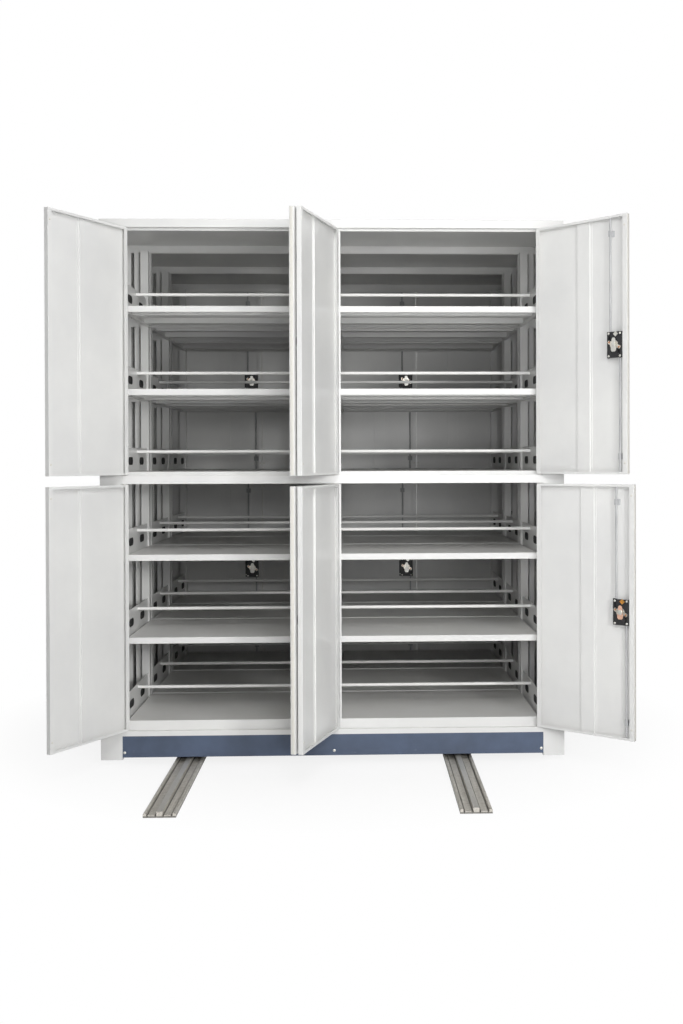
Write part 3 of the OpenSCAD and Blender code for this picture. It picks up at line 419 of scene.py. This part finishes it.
lock_heights = sorted({round(joints[n]["pos_m"][2], 4) for n in joints if "_handle_" in n})
finishes["lock_black"] = lock_enamel("lock enamel", lock_heights)

# %% [markdown]
# ## Dressing the CAD nodes
#
# The record gives each CAD node a material slot, and the finish of the same name goes on it. Only the rods above
# the shelves leave their slot's finish, for their paler coat, which paints the light that falls on them.

# %% A finish for every node
for name, obj in frame["nodes"].items():
    obj.data.materials.clear()
    obj.data.materials.append(finishes["rod_enamel" if name.endswith("rods") else slot_of[name]])
print("dressed nodes:", len(frame["nodes"]), "finishes:", len(finishes))

# %% [markdown]
# ## From rings of points to a mesh
#
# Small hardware is turned on a lathe or stamped from sheet, and both are a stack of rings: the
# rings of a turned part are circles, and those of a stamped plate are its outline, drawn in a
# little at the rounded edges. So one function skins a stack of rings, and two functions make the
# rings as whole numpy arrays. Blender's own cylinders and cubes with bevels could do it too, but
# then every edge must be found and edited.


# %% Skin of a stack of rings
def skin(rings):
    """Points, quads and lids over rings, an array of rings x points x 3. Quad (i, j) joins points
    j and j + 1 of ring i to the same points of ring i + 1, and the first and last ring get lids."""
    index = np.arange(rings.shape[0] * rings.shape[1]).reshape(rings.shape[:2])
    onward = np.roll(index, -1, axis=1)
    quads = np.stack([index[:-1], onward[:-1], onward[1:], index[1:]], axis=-1).reshape(-1, 4)
    return rings.reshape(-1, 3), quads, index[[0, -1]]


def turned(profile_mm, steps=20):
    """Turned shape: a profile point (r, h) goes round Z, x = r cos a, y = r sin a, z = h, with
    a = 2 pi j / steps. A point with r = 0 closes the shape in a pole."""
    r, h = np.array(profile_mm, dtype=float).T * MM
    a = np.arange(steps) * 2 * np.pi / steps
    rings = (np.outer(r, np.cos(a)), np.outer(r, np.sin(a)), np.outer(h, np.ones(steps)))
    return skin(np.stack(rings, axis=-1))


def stamped(outline_mm, edge_mm):
    """Stamped shape: an edge point (e, z) is carried round the outline, which runs anticlockwise.
    Each outline point moves in by e along its mitre, (n1 + n2) / (1 + n1 . n2), where n1 and n2
    are the inward unit normals of the two sides that meet there."""
    p = np.array(outline_mm, dtype=float) * MM
    inset, z = np.array(edge_mm, dtype=float).T * MM
    side = np.roll(p, -1, axis=0) - p
    leaving = side[:, ::-1] * (-1, 1) / np.linalg.norm(side, axis=1, keepdims=True)
    arriving = np.roll(leaving, 1, axis=0)
    mitre = (leaving + arriving) / (1 + (leaving * arriving).sum(axis=1, keepdims=True))
    flat = p + inset[:, None, None] * mitre
    rise = np.broadcast_to(z[:, None, None], (len(z), len(p), 1))
    return skin(np.concatenate([flat, rise], axis=-1))


print("a turned cylinder has", len(turned([(1, 0), (1, 1)])[0]), "points")

# %% [markdown]
# ## Placing shapes and joining them into pieces
#
# A row of screws is one piece, because the screws share a finish and move together. Each shape is
# made at the origin, standing on its local XY plane, and a matrix puts it where it belongs. The
# place could be the object's own, but it goes into the mesh, so the object stays at the origin as
# the CAD nodes do, and the patterns stay still on it.


# %% Where a shape stands
def stand(point, out, up=(0, 0, 1)):
    """Matrix that puts local Z along out and local Y near up, at a point: x = up x z, y = z x x."""
    z = Vector(out).normalized()
    x = Vector(up).cross(z)
    x = x.normalized() if x.length > 1e-6 else Vector((1, 0, 0))
    y = z.cross(x)
    place = Matrix((x, y, z)).transposed().to_4x4()
    place.translation = Vector(point)
    return place


def points_of(node):
    """All the points of a CAD node, as an array."""
    vertices = frame["nodes"][node].data.vertices
    flat = np.empty(len(vertices) * 3, dtype=np.float32)
    vertices.foreach_get("co", flat)
    return flat.reshape(-1, 3).astype(float)


# %% Joining shapes into one piece that rides on a body
POLE_MERGE_MM = 0.001
SHARP_DEG = 35


def piece(name, finish, body, shapes):
    """Joins (shape, place) pairs into one mesh. A point p lands at R p + t, where R and t are the
    turn and the shift of the place. Merging doubles closes the poles."""
    points, faces, used = [], [], 0
    for (own, quads, lids), place in shapes:
        m = np.array(place)
        points.append(own @ m[:3, :3].T + m[:3, 3])
        faces += (quads + used).tolist() + (lids + used).tolist()
        used += len(own)
    mesh = bpy.data.meshes.new(name)
    mesh.from_pydata(np.concatenate(points).tolist(), [], faces)
    mend = bmesh.new()
    mend.from_mesh(mesh)
    bmesh.ops.remove_doubles(mend, verts=mend.verts, dist=POLE_MERGE_MM * MM)
    bmesh.ops.recalc_face_normals(mend, faces=mend.faces)
    mend.to_mesh(mesh)
    mend.free()
    mesh.materials.append(finishes[finish])
    mesh.shade_smooth()
    mesh.set_sharp_from_angle(angle=math.radians(SHARP_DEG))
    obj = bpy.data.objects.new(name, mesh)
    bpy.context.scene.collection.objects.link(obj)
    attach(obj, body)
    print(f"{name}: {len(points)} shapes, {len(mesh.polygons)} faces, on {body}")


# %% [markdown]
# ## Heads of screws and bolts
#
# A pan head is pressed from wire: a short rim, a dome like a quarter of an ellipse, and a dished
# recess for the driver. A bolt has a hexagon head with a small chamfer, on a washer. Both could be
# cut from cylinders with Booleans, but a turned profile gives them at once, the bolt with six
# steps. Threads are left out, because they never show.


# %% Pan head and hexagon head
def pan_head(radius, rise):
    """Dome of r = R cos t and h = rim + (rise - rim) sin t over a rim, with a recess, in mm."""
    rim = 0.35 * rise
    t = np.linspace(0, 1.15, 6)
    dome = np.stack([radius * np.cos(t), rim + (rise - rim) * np.sin(t)], axis=1)
    recess = [(0.24 * radius, 0.97 * rise), (0.2 * radius, 0.5 * rise), (0, 0.42 * rise)]
    return turned([(radius, 0), *dome, *recess], 18)


def hex_head(radius, rise):
    """Hexagon head with a chamfered crown on a washer, in mm: a profile with six steps."""
    washer = [(1.25 * radius, 0), (1.25 * radius, 0.2 * rise)]
    head = [(radius, 0.2 * rise), (radius, 0.9 * rise), (0.86 * radius, rise), (0, rise)]
    return turned(washer + head, 6)


# %% [markdown]
# ## Screws of the kick plates
#
# Three pale pan heads hold each kick plate near its lower edge, at both ends and in the middle, as
# the photograph shows. Their places come from the box of the base, so they stay right if it grows.

# %% Three screws on each kick plate
KICK_HEAD_MM = (6, 2.5)
KICK_RISE_MM = 20
KICK_SPREAD = 0.99
FACES = (("front", -1), ("rear", 1))

for face, sign in FACES:
    low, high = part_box(face + "_base")
    face_y = low.y if sign < 0 else high.y
    piece(face + "_kick_screws", "screw_zinc", face + "_carriage", [
        (pan_head(*KICK_HEAD_MM), stand((x, face_y, low.z + KICK_RISE_MM * MM), (0, sign, 0)))
        for x in (KICK_SPREAD * low.x, 0.0, KICK_SPREAD * high.x)])

# %% [markdown]
# ## Bolts of the bearing housings
#
# Every wheel runs between two bearing housings, and four bolts on a circle hold each of them. The
# circle lies round the axle, on the housing's outer side, which the rail's centre and half of the
# bearing's width give. An array modifier could repeat the bolts, but plain lists do it in one line.

# %% Four bolts on each housing
HALF_GAP_MM, BEARING_PLATE_MM, BEARING_BOSS_MM = 75 / 2, 5, 16
BEARING_REACH = (HALF_GAP_MM + BEARING_PLATE_MM + BEARING_BOSS_MM) * MM
BOLT_HEAD_MM = (4.5, 3.5)
BOLT_CIRCLE_MM = 20

rail_x = points_of("rails")[:, 0]
rail_centres = [(side.min() + side.max()) / 2 for side in (rail_x[rail_x < 0], rail_x[rail_x > 0])]
bolt_turns = [math.radians(a) for a in (45, 135, 225, 315)]
spokes = [Vector((0, math.cos(a), math.sin(a))) * BOLT_CIRCLE_MM * MM for a in bolt_turns]
for face, _ in FACES:
    axles = [Vector(joints[f"{face}_{end}_axle_turn"]["pos_m"]) for end in ("drive", "idle")]
    piece(face + "_bearing_bolts", "screw_zinc", face + "_carriage", [
        (hex_head(*BOLT_HEAD_MM),
         stand(Vector((x + side * BEARING_REACH, axle.y, axle.z)) + spoke, (side, 0, 0)))
        for axle in axles for x in rail_centres for side in (-1, 1) for spoke in spokes])

# %% [markdown]
# ## Caps of the hand wheels
#
# A black cap is pressed over the end of each hand wheel's hub and hides the shaft. It is a shallow
# dome with a rim, sunk a little into the hub, so that no gap shows round it. Half a sphere would
# be too round for it, so it is a turned profile.

# %% A cap on each hub
CAP_MM = [(15, 0), (15, 1), (13, 2.4), (0, 3.2)]
CAP_SUNK_MM = 0.4

for face, _ in FACES:
    hub = Vector(joints[f"{face}_hand_wheel_turn"]["pos_m"])
    hub.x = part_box(face + "_hand_wheel")[1].x - CAP_SUNK_MM * MM
    piece(face + "_hub_cap", "keyhole", face + "_hand_wheel",
          [(turned(CAP_MM, 28), stand(hub, (1, 0, 0)))])

# %% [markdown]
# ## Painted shade in the finger grips of the hanging plates
#
# The photograph shows two long dark grips on each hanging plate, between the posts: finger grip holes in shade. A
# thin near-black shell with round ends and a shallow dish paints that shade into each grip. Cutting them from a
# block would need Booleans. Here the outline is two half circles, and its edge is a chamfer that turns into the
# dish. Each shell covers the small hole that the CAD has near its place.

# %% Shape of a grip
GRIP_LENGTH_MM, GRIP_HEIGHT_MM, GRIP_THICK_MM, GRIP_CHAMFER_MM = 88, 34, 1.6, 0.48
DISH_WIDTH_MM, DISH_DEPTH_MM = 2.5, 0.96


def grip_shell():
    """Long shell: its right end is the half circle (c + r cos a, r sin a), where c is half the
    straight part, and its left end is the same, turned half round."""
    r = GRIP_HEIGHT_MM / 2
    a = np.radians(np.arange(-90, 91, 22))
    right_end = np.stack([GRIP_LENGTH_MM / 2 - r + r * np.cos(a), r * np.sin(a)], axis=1)
    e, t = GRIP_CHAMFER_MM, GRIP_THICK_MM
    edge = [(e, 0), (0, e), (0, t - e), (e, t), (e + DISH_WIDTH_MM, t - DISH_DEPTH_MM)]
    return stamped(np.concatenate([right_end, -right_end]), edge)


grip = grip_shell()
print("grip:", len(grip[0]), "points")

# %% [markdown]
# ## Placing the grips
#
# Each unit has four rows of hanging plates, two at the centre and one at each casing, with six
# levels each. The middle unit is a copy of the front one, and the rear unit is its mirror image.
# The grips could be copied by hand, but their places follow the pitch of the shelves, so one list
# names them all.

# %% Two grips on every plate
GRIP_Y_MM = (-146, 94)
GRIP_RISE_MM = 46
SHELF_LOW_MM, SHELF_PITCH_MM, LEVELS = 184, 349, 6
CENTRE_PLATE_MM, OUTER_PLATE_MM = 12, 877
UNITS = (("front", "front_carriage", 1), ("middle", "fixed_block", 1),
         ("rear", "rear_carriage", -1))

grip_z = [(SHELF_LOW_MM + n * SHELF_PITCH_MM + GRIP_RISE_MM) * MM for n in range(LEVELS)]
for unit, body, mirror in UNITS:
    low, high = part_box(unit + "_uprights")
    grip_y = [(low.y + high.y) / 2 + mirror * y * MM for y in GRIP_Y_MM]
    # Each black shell is painted shade in a grip hole.
    piece(unit + "_plate_grip_shade", "grip_hole_shade", body, [
        (grip, stand((side * plate * MM, y, z), (side * towards, 0, 0)))
        for plate, towards in ((CENTRE_PLATE_MM, 1), (OUTER_PLATE_MM, -1))
        for side in (-1, 1) for z in grip_z for y in grip_y])

# %% [markdown]
# ## How each door stands
#
# Washers, stops and seals sit square to their door, and the doors stand open at odd angles. A
# closed door lies along X, and the lower limit of its joint is minus the angle at which it stands
# open, so a turn by that angle about the joint's axis gives the door's own directions. Fitting a
# plane to the door's points would give them too, but not as exactly.

# %% Directions and reach of each door
PIN_REACH_MM = 7


def door_axes(name):
    """Pin, direction from the pin to the free edge, outward direction, and the door's reach, depth
    behind the pin and lower and upper ends without the pins, in metres."""
    joint = joints[name + "_swing"]
    pin, axis = Vector(joint["pos_m"]), Vector(joint["axis"])
    points = points_of(name)
    along = Matrix.Rotation(-math.radians(joint["range_deg"][0]), 3, axis) @ Vector((1, 0, 0))
    if along.dot(Vector(points.mean(axis=0)) - pin) < 0:
        along = -along
    outward = axis.cross(along)
    from_pin = points - np.array(pin)
    return SimpleNamespace(
        pin=pin, along=along, outward=outward,
        reach=(from_pin @ np.array(along)).max(),
        behind=-(from_pin @ np.array(outward)).min(),
        low=points[:, 2].min() + PIN_REACH_MM * MM,
        high=points[:, 2].max() - PIN_REACH_MM * MM)


doors = {n: door_axes(n) for n in frame["nodes"] if "_door_" in n and not n.endswith("door_frame")}
print("doors:", len(doors))

# %% [markdown]
# ## Hinge washers and bump stops
#
# Each door turns on two pins, and a nylon washer on each pin fills the gap between the door and
# the rail. Two small soft stops sit on the folded lip at the free edge and hush the door. Both are
# turned profiles, since a plain cylinder would lack the stop's rounded shoulder.

# %% Washers on the pins and stops on the lip
WASHER_MM = [(2.7, 0), (5.2, 0), (5.2, 2.2), (2.7, 2.2)]
STOP_MM = [(4.5, 0), (4.5, 0.7), (3.4, 1.5), (0, 1.8)]
STOP_IN_MM, STOP_END_MM = 10, 45

for name, door in doors.items():
    piece(name + "_washers", "nylon", name, [
        (turned(WASHER_MM), stand((door.pin.x, door.pin.y, z), (0, 0, way), (0, 1, 0)))
        for z, way in ((door.low, -1), (door.high, 1))])
    lip = door.pin + door.along * (door.reach - STOP_IN_MM * MM) - door.outward * door.behind
    piece(name + "_stops", "nylon", name, [
        (turned(STOP_MM, 18), stand((lip.x, lip.y, z), -door.outward))
        for z in (door.low + STOP_END_MM * MM, door.high - STOP_END_MM * MM)])


# %% [markdown]
# ## Edge seals
#
# A door with a lock carries a pale nylon seal on its free edge. It closes most of the gap to the
# other door of the pair, so that no light shows between shut doors. It is a long flat bar, and its
# rounded edges are drawn with quarter circles instead of a Bevel modifier, because the same bar
# then serves for the slots of the keys.


# %% A bar with rounded edges
def bar(width, length, thickness, rounding):
    """A flat bar in mm. A quarter circle is r (1 - cos t), r (1 - sin t) for t = 0, 45 and 90
    degrees, both on the edges and on the corners, whose radius is half as large again, so that
    they keep their shape when the outline is drawn in."""
    t = np.radians([0, 45, 90])
    near, far = 1 - np.cos(t), 1 - np.sin(t)
    corner = 1.5 * rounding
    one = np.stack([width / 2 - corner * near, length / 2 - corner * far], axis=1)
    next_one = one[::-1] * (-1, 1)
    outline = np.concatenate([one, next_one, -one, -next_one])
    below = np.stack([rounding * far, rounding * near], axis=1)
    above = np.stack([rounding * near, thickness - rounding * far], axis=1)
    return stamped(outline, np.concatenate([below, above]))


SEAL_WIDTH_MM, SEAL_THICK_MM, SEAL_ROUND_MM = 12, 1.7, 0.4
SEAL_BACK_MM, SEAL_SHORT_MM = 10, 6

for name in [n for n in doors if n.replace("_door_", "_lock_") in frame["nodes"]]:
    door = doors[name]
    edge = door.pin + door.along * door.reach - door.outward * (door.behind - SEAL_BACK_MM * MM)
    edge.z = (door.low + door.high) / 2
    length_mm = (door.high - door.low) / MM - SEAL_SHORT_MM
    seal = bar(SEAL_WIDTH_MM, length_mm, SEAL_THICK_MM, SEAL_ROUND_MM)
    piece(name + "_seal", "nylon", name, [(seal, stand(edge, door.along))])

# %% [markdown]
# ## Where the parts of a lock stand
#
# A lock sits on the inner side of its door: a black case, a cam that turns over it, and two rods
# whose pins the cam takes. The small parts lie at three depths, on the pins, on the case's roof and
# on the feet of the case. Typed depths would break with every change of the CAD, so they are
# measured here from the nodes, along the door's own directions.

# %% Measuring each lock
FOOT_TOP_MM = 3.5
CAM_STACK_MM = 4.3
UP = Vector((0, 0, 1))


def farthest(node, start, way):
    """How far a node reaches from a point in a direction: the largest (p - start) . way."""
    return ((points_of(node) - np.array(start)) @ np.array(way)).max()


def measure_lock(name):
    """Nodes and directions of a lock, and its spindle, feet and roof as points, with the heights
    of the rod pins and the cam on the inner side and of the grip's face on the outer side."""
    handle, door = name.replace("_lock_", "_handle_"), name.replace("_lock_", "_door_")
    spindle = Vector(joints[handle + "_turn"]["pos_m"])
    outward = doors[door].outward
    inward = -outward
    cam = farthest(handle, spindle, inward)
    return SimpleNamespace(
        handle=handle, door=door, spindle=spindle, outward=outward, inward=inward,
        along=doors[door].along,
        feet=spindle + inward * (FOOT_TOP_MM * MM - farthest(door, spindle, outward)),
        roof=spindle + inward * (cam - CAM_STACK_MM * MM),
        pins=farthest(name, spindle, inward), cam=cam,
        face=farthest(handle, spindle, outward))


def beside(lock, point, along_mm, up_mm):
    """The point that lies that far along the door and that far up from a point."""
    return point + (lock.along * along_mm + UP * up_mm) * MM


locks = {n: measure_lock(n) for n in frame["nodes"] if "_lock_" in n}
print("locks:", len(locks))

# %% [markdown]
# ## Rivets and screws of a lock
#
# Each rod pin is riveted over, which leaves a flat head, and its copper colour is a painted highlight for the
# pinkish light on the lock. Four rivets join the roof of the case to its walls, and four screws hold its feet to
# the door. All are pan heads of their own sizes. The heads of the pins are sunk by 0.2 mm, so that the cam's leaf
# passes over them.

# %% Heads on the pins, the feet and the roof
ROD_PIN_MM, PIN_HEAD_MM, PIN_SUNK_MM = (22, -10), (3.9, 1.1), 0.2
FOOT_SCREW_MM, FOOT_HEAD_MM = (38, 40), (3.4, 1.9)
ROOF_RIVET_MM, ROOF_HEAD_MM = (26, 45), (4.6, 2.2)


def four_heads(lock, point, reach_mm, head_mm):
    """Pan heads at the four corners (+-u, +-v) round a point."""
    u, v = reach_mm
    return [(pan_head(*head_mm), stand(beside(lock, point, a * u, b * v), lock.inward))
            for a in (-1, 1) for b in (-1, 1)]


for name, lock in locks.items():
    top = lock.spindle + lock.inward * (lock.pins - PIN_SUNK_MM * MM)
    u, v = ROD_PIN_MM
    # The pin heads are painted copper as a highlight.
    piece(name + "_rivets", "copper", lock.door, [
        (pan_head(*PIN_HEAD_MM), stand(beside(lock, top, s * u, s * v), lock.inward))
        for s in (-1, 1)])
    heads = four_heads(lock, lock.feet, FOOT_SCREW_MM, FOOT_HEAD_MM)
    heads += four_heads(lock, lock.roof, ROOF_RIVET_MM, ROOF_HEAD_MM)
    piece(name + "_screws", "screw_zinc", lock.door, heads)

# %% [markdown]
# ## Staple and leaf
#
# A square staple stands on the roof above the cam. A leaf with two lobes turns with the cam, on a boss that lifts
# it clear of the rivet heads. As photographed, the staple is brass on the lower front doors, and there the leaf is
# pale pink, a painted reflection of the pinkish light on the lock; both are zinc elsewhere. The leaf is stamped
# sheet, so it is an outline with a chamfered edge. A flat face with a Solidify modifier would have sharp edges,
# which don't catch the light.

# %% Shape of the leaf, and a staple and a leaf on each lock
STAPLE_PLACE_MM = (7, 43)
STAPLE_MM = [(6.5, 0), (11, 0), (11, 3), (6.5, 3), (6.5, 0.4)]
LEAF_LIFT_MM, LEAF_THICK_MM, LEAF_CHAMFER_MM = 0.9, 0.9, 0.25
LEAF_HALF_MM = [(7, -28), (12, -22), (12, -10), (8, -2), (7, 10), (9, 18), (7, 25), (4, 28)]
BOSS_RADIUS_MM, BOSS_TOP_MM, BOSS_SUNK_MM = 8, 1.1 + LEAF_LIFT_MM, 1.05
BOSS_MM = [(BOSS_RADIUS_MM, 0), (BOSS_RADIUS_MM, BOSS_TOP_MM), (0, BOSS_TOP_MM)]

t, e = LEAF_THICK_MM, LEAF_CHAMFER_MM
leaf_outline = LEAF_HALF_MM + [(-x, y) for x, y in reversed(LEAF_HALF_MM)]
leaf = stamped(leaf_outline, [(e, 0), (0, e), (0, t - e), (e, t)])
for name, lock in locks.items():
    lower_front = name.startswith("front_lower")
    staple_finish, leaf_finish = (
        ("staple_brass", "leaf_pink_reflection") if lower_front else ("screw_zinc", "screw_zinc"))
    place = stand(beside(lock, lock.roof, *STAPLE_PLACE_MM), lock.inward)
    piece(name + "_staple", staple_finish, lock.door, [(turned(STAPLE_MM, 4), place)])
    piece(name + "_leaf", leaf_finish, lock.handle, [
        (shape, stand(lock.spindle + lock.inward * (lock.cam + rise * MM), lock.inward))
        for shape, rise in ((leaf, LEAF_LIFT_MM), (turned(BOSS_MM, 24), -BOSS_SUNK_MM))])

# %% [markdown]
# ## Nut and key cylinder
#
# A hexagon nut holds the leaf and the cam on the spindle. On the other side of the door, the grip in the cup
# carries a round key cylinder with a slot. The slot could be cut with a Boolean. Instead a thin black bar, let
# into the cylinder, is painted shade for the slot, and it looks the same from any distance at which it can be
# seen.

# %% A nut inside and a cylinder outside
NUT_HEAD_MM, NUT_RISE_MM = (9, 3), LEAF_LIFT_MM + 0.8
KEY_MM, KEY_SUNK_MM = [(5.2, 0), (5.2, 1.4), (4.4, 1.9), (0, 1.9)], 0.3
SLIT_MM, SLIT_RISE_MM = (1.1, 6.4, 0.6, 0.15), 1.3

for name, lock in locks.items():
    nut_foot = lock.spindle + lock.inward * (lock.cam + NUT_RISE_MM * MM)
    piece(name + "_nut", "screw_zinc", lock.handle,
          [(hex_head(*NUT_HEAD_MM), stand(nut_foot, lock.inward))])
    key_foot = lock.spindle + lock.outward * (lock.face - KEY_SUNK_MM * MM)
    piece(name + "_cylinder", "handle_brass", lock.handle,
          [(turned(KEY_MM, 24), stand(key_foot, lock.outward))])
    slit_foot = lock.spindle + lock.outward * (lock.face + SLIT_RISE_MM * MM)
    # The black bar is painted shade for the key slot.
    piece(name + "_keyhole", "keyhole", lock.handle,
          [(bar(*SLIT_MM), stand(slit_foot, lock.outward))])

# %% [markdown]
# ## The floor
#
# A product picture stands on white paper that runs out of sight. Here the floor shows the block's
# shadow close to it and fades to plain white from 1.1 m to 1.75 m away. Stronger lamps would make
# the floor white too, but they would bleach the doors, so the white comes from what the camera
# sees of the floor's own material.

# %% A white floor that keeps the shadow
FLOOR_HALF, FLOOR_DROP_MM = 14.0, 0.5
SHADOW_NEAR, SHADOW_FAR, WHITE_NEAR, WHITE_FAR = 1.1, 1.75, 0.84, 1.0

scene = bpy.context.scene
floor_mesh = bpy.data.meshes.new("floor")
sides = ((-1, -1), (1, -1), (1, 1), (-1, 1))
floor_mesh.from_pydata([(x * FLOOR_HALF, y * FLOOR_HALF, 0) for x, y in sides], [], [(0, 1, 2, 3)])
floor = bpy.data.objects.new("floor", floor_mesh)
scene.collection.objects.link(floor)
floor.location.z = -FLOOR_DROP_MM * MM
f = Finish("floor paper")
away = f.add("VectorMath", [f.at], out="Value", operation="LENGTH")
share = f.add("MapRange", [away, SHADOW_NEAR, SHADOW_FAR, WHITE_NEAR, WHITE_FAR])
seen = f.add("Math", [f.add("LightPath", out="Is Camera Ray"), share], **TIMES)
white = f.add("Emission", {"Color": "#FFFFFF", "Strength": 1.0})
mixed = f.add("MixShader", [seen, f.shader.outputs[0], white])
wire(f.tree, f.tree.nodes["Material Output"], {"Surface": mixed})
floor_mesh.materials.append(f.done(Base_Color="#FAFAFA", Roughness=0.8))

# %% [markdown]
# ## The world
#
# The camera and mirror reflections see plain white, and everything else gets only a little even
# light from the world, so that the lamps draw the shapes. A sky picture would light the block too,
# but it would show in the metal. The Light Path node tells what kind of ray asks.

# %% White for the camera, dim for the object
AMBIENT = 0.05
world = bpy.data.worlds.new("studio")
scene.world = world
world.use_nodes = True
sky = world.node_tree
dim = sky.nodes["Background"]
wire(sky, dim, {"Color": "#FFFFFF", "Strength": AMBIENT})
plain_white = add(sky, "Background", {"Color": "#FFFFFF", "Strength": 1.0})
rays = [add(sky, "LightPath", out=kind) for kind in ("Is Camera Ray", "Is Glossy Ray")]
shown = add(sky, "Math", rays, operation="MAXIMUM")
chosen = add(sky, "MixShader", [shown, dim.outputs[0], plain_white])
wire(sky, sky.nodes["World Output"], {"Surface": chosen})
print("world: ambient", AMBIENT)


# %% [markdown]
# ## Lamps
#
# The photograph has soft light from above and in front, which reaches far into the shelves. Point
# lamps would throw hard shadows of every shelf, so the lamps are square softboxes: the larger one
# is, the softer its shadows. Their powers were matched to the tones of the doors, the shelves and
# the inside, with the pale doors kept under white. The lamp behind lights the rear face only.


# %% Softboxes around the block
def softbox(name, place, target, size, power):
    """A square area lamp at a place, aimed at a target, with its side in m and its power in W."""
    lamp = bpy.data.lights.new(name, "AREA")
    lamp.size = size
    lamp.energy = power
    obj = bpy.data.objects.new(name, lamp)
    scene.collection.objects.link(obj)
    obj.location = place
    obj.rotation_mode = "QUATERNION"
    obj.rotation_quaternion = (Vector(target) - Vector(place)).to_track_quat("-Z", "Y")
    print(f"lamp {name}: {power} W")


near_y, far_y = start_bounds[0].y, start_bounds[1].y
softbox("key", (0.2, near_y - 2.8, 3.4), (0, near_y + 0.4, 1.3), 1.5, 50)
softbox("top", (0.6, near_y - 2.0, 4.2), (0, near_y + 0.6, 1.2), 1.2, 21)
softbox("front", (0.3, near_y - 2.2, 1.2), (0, near_y + 0.4, 1.2), 0.7, 16)
softbox("right", (1.5, near_y - 3.8, 1.3), (-0.2, near_y + 0.4, 1.1), 0.9, 13)
softbox("camera side", (0.1, near_y - 4.5, 1.75), (0, near_y + 0.4, 1.1), 0.4, 17)
softbox("far right", (3.2, near_y - 5.0, 2.2), (0, near_y + 0.4, 1.1), 1.0, 122)
softbox("back", (0.5, far_y + 3.5, 4.2), (0, far_y - 1.0, 1.2), 3.2, 220)

# %% [markdown]
# ## Camera
#
# The camera stands where the photograph was taken from. It could be placed by eye, but a fit to the
# block's corners and edges is exact: it gave the place, measured from the plane of the door frame,
# and the turn. The focal length is 1100 pixels on the 1024 pixel side. The picture is a crop, so
# the lens axis isn't at its centre, and the shift of the lens brings it there.

# %% Camera from the fit
IMAGE_W, IMAGE_H = 683, 1024
FOCAL_PX = 1100.0
LENS_AXIS_PX = (391.24, 468.56)
SENSOR = 36.0  # in mm, as Blender takes the sensor and the lens
FIT_PLACE_MM = (95.2, -4629.6, 1274.6)
FIT_YAW_DEG, FIT_PITCH_DEG, FIT_ROLL_DEG = 1.834, 0.406, -0.169

yaw, pitch, roll = (math.radians(a) for a in (FIT_YAW_DEG, FIT_PITCH_DEG, FIT_ROLL_DEG))
ahead = Vector((math.sin(yaw) * math.cos(pitch), math.cos(yaw) * math.cos(pitch), -math.sin(pitch)))
right = Vector((math.cos(yaw), -math.sin(yaw), 0.0))
above = right.cross(ahead)
right, above = (right * math.cos(roll) + above * math.sin(roll),
                above * math.cos(roll) - right * math.sin(roll))
place = Vector(FIT_PLACE_MM) * MM + Vector((0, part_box("front_door_frame")[0].y, 0))

camera = bpy.data.objects.new("camera", bpy.data.cameras.new("camera"))
scene.collection.objects.link(camera)
turn = Matrix((right, above, -ahead)).transposed()
camera.matrix_world = Matrix.Translation(place) @ turn.to_4x4()
camera.data.sensor_width = SENSOR
camera.data.lens = SENSOR * FOCAL_PX / IMAGE_H
camera.data.shift_x = (IMAGE_W / 2 - LENS_AXIS_PX[0]) / IMAGE_H
camera.data.shift_y = (LENS_AXIS_PX[1] - IMAGE_H / 2) / IMAGE_H
camera.data.clip_start = 0.1
camera.data.clip_end = 60.0
scene.camera = camera
scene.view_settings.view_transform = "Standard"
print("camera at", [round(v, 3) for v in place], "lens", round(camera.data.lens, 2), "mm")

# %% [markdown]
# ## Size before dressing
#
# The box of the CAD block before dressing is printed. The dressed block has to keep the
# size of the CAD block.

# %% Printing the box before dressing
print("frame:", [round(v, 4) for v in (*start_bounds[0], *start_bounds[1])])
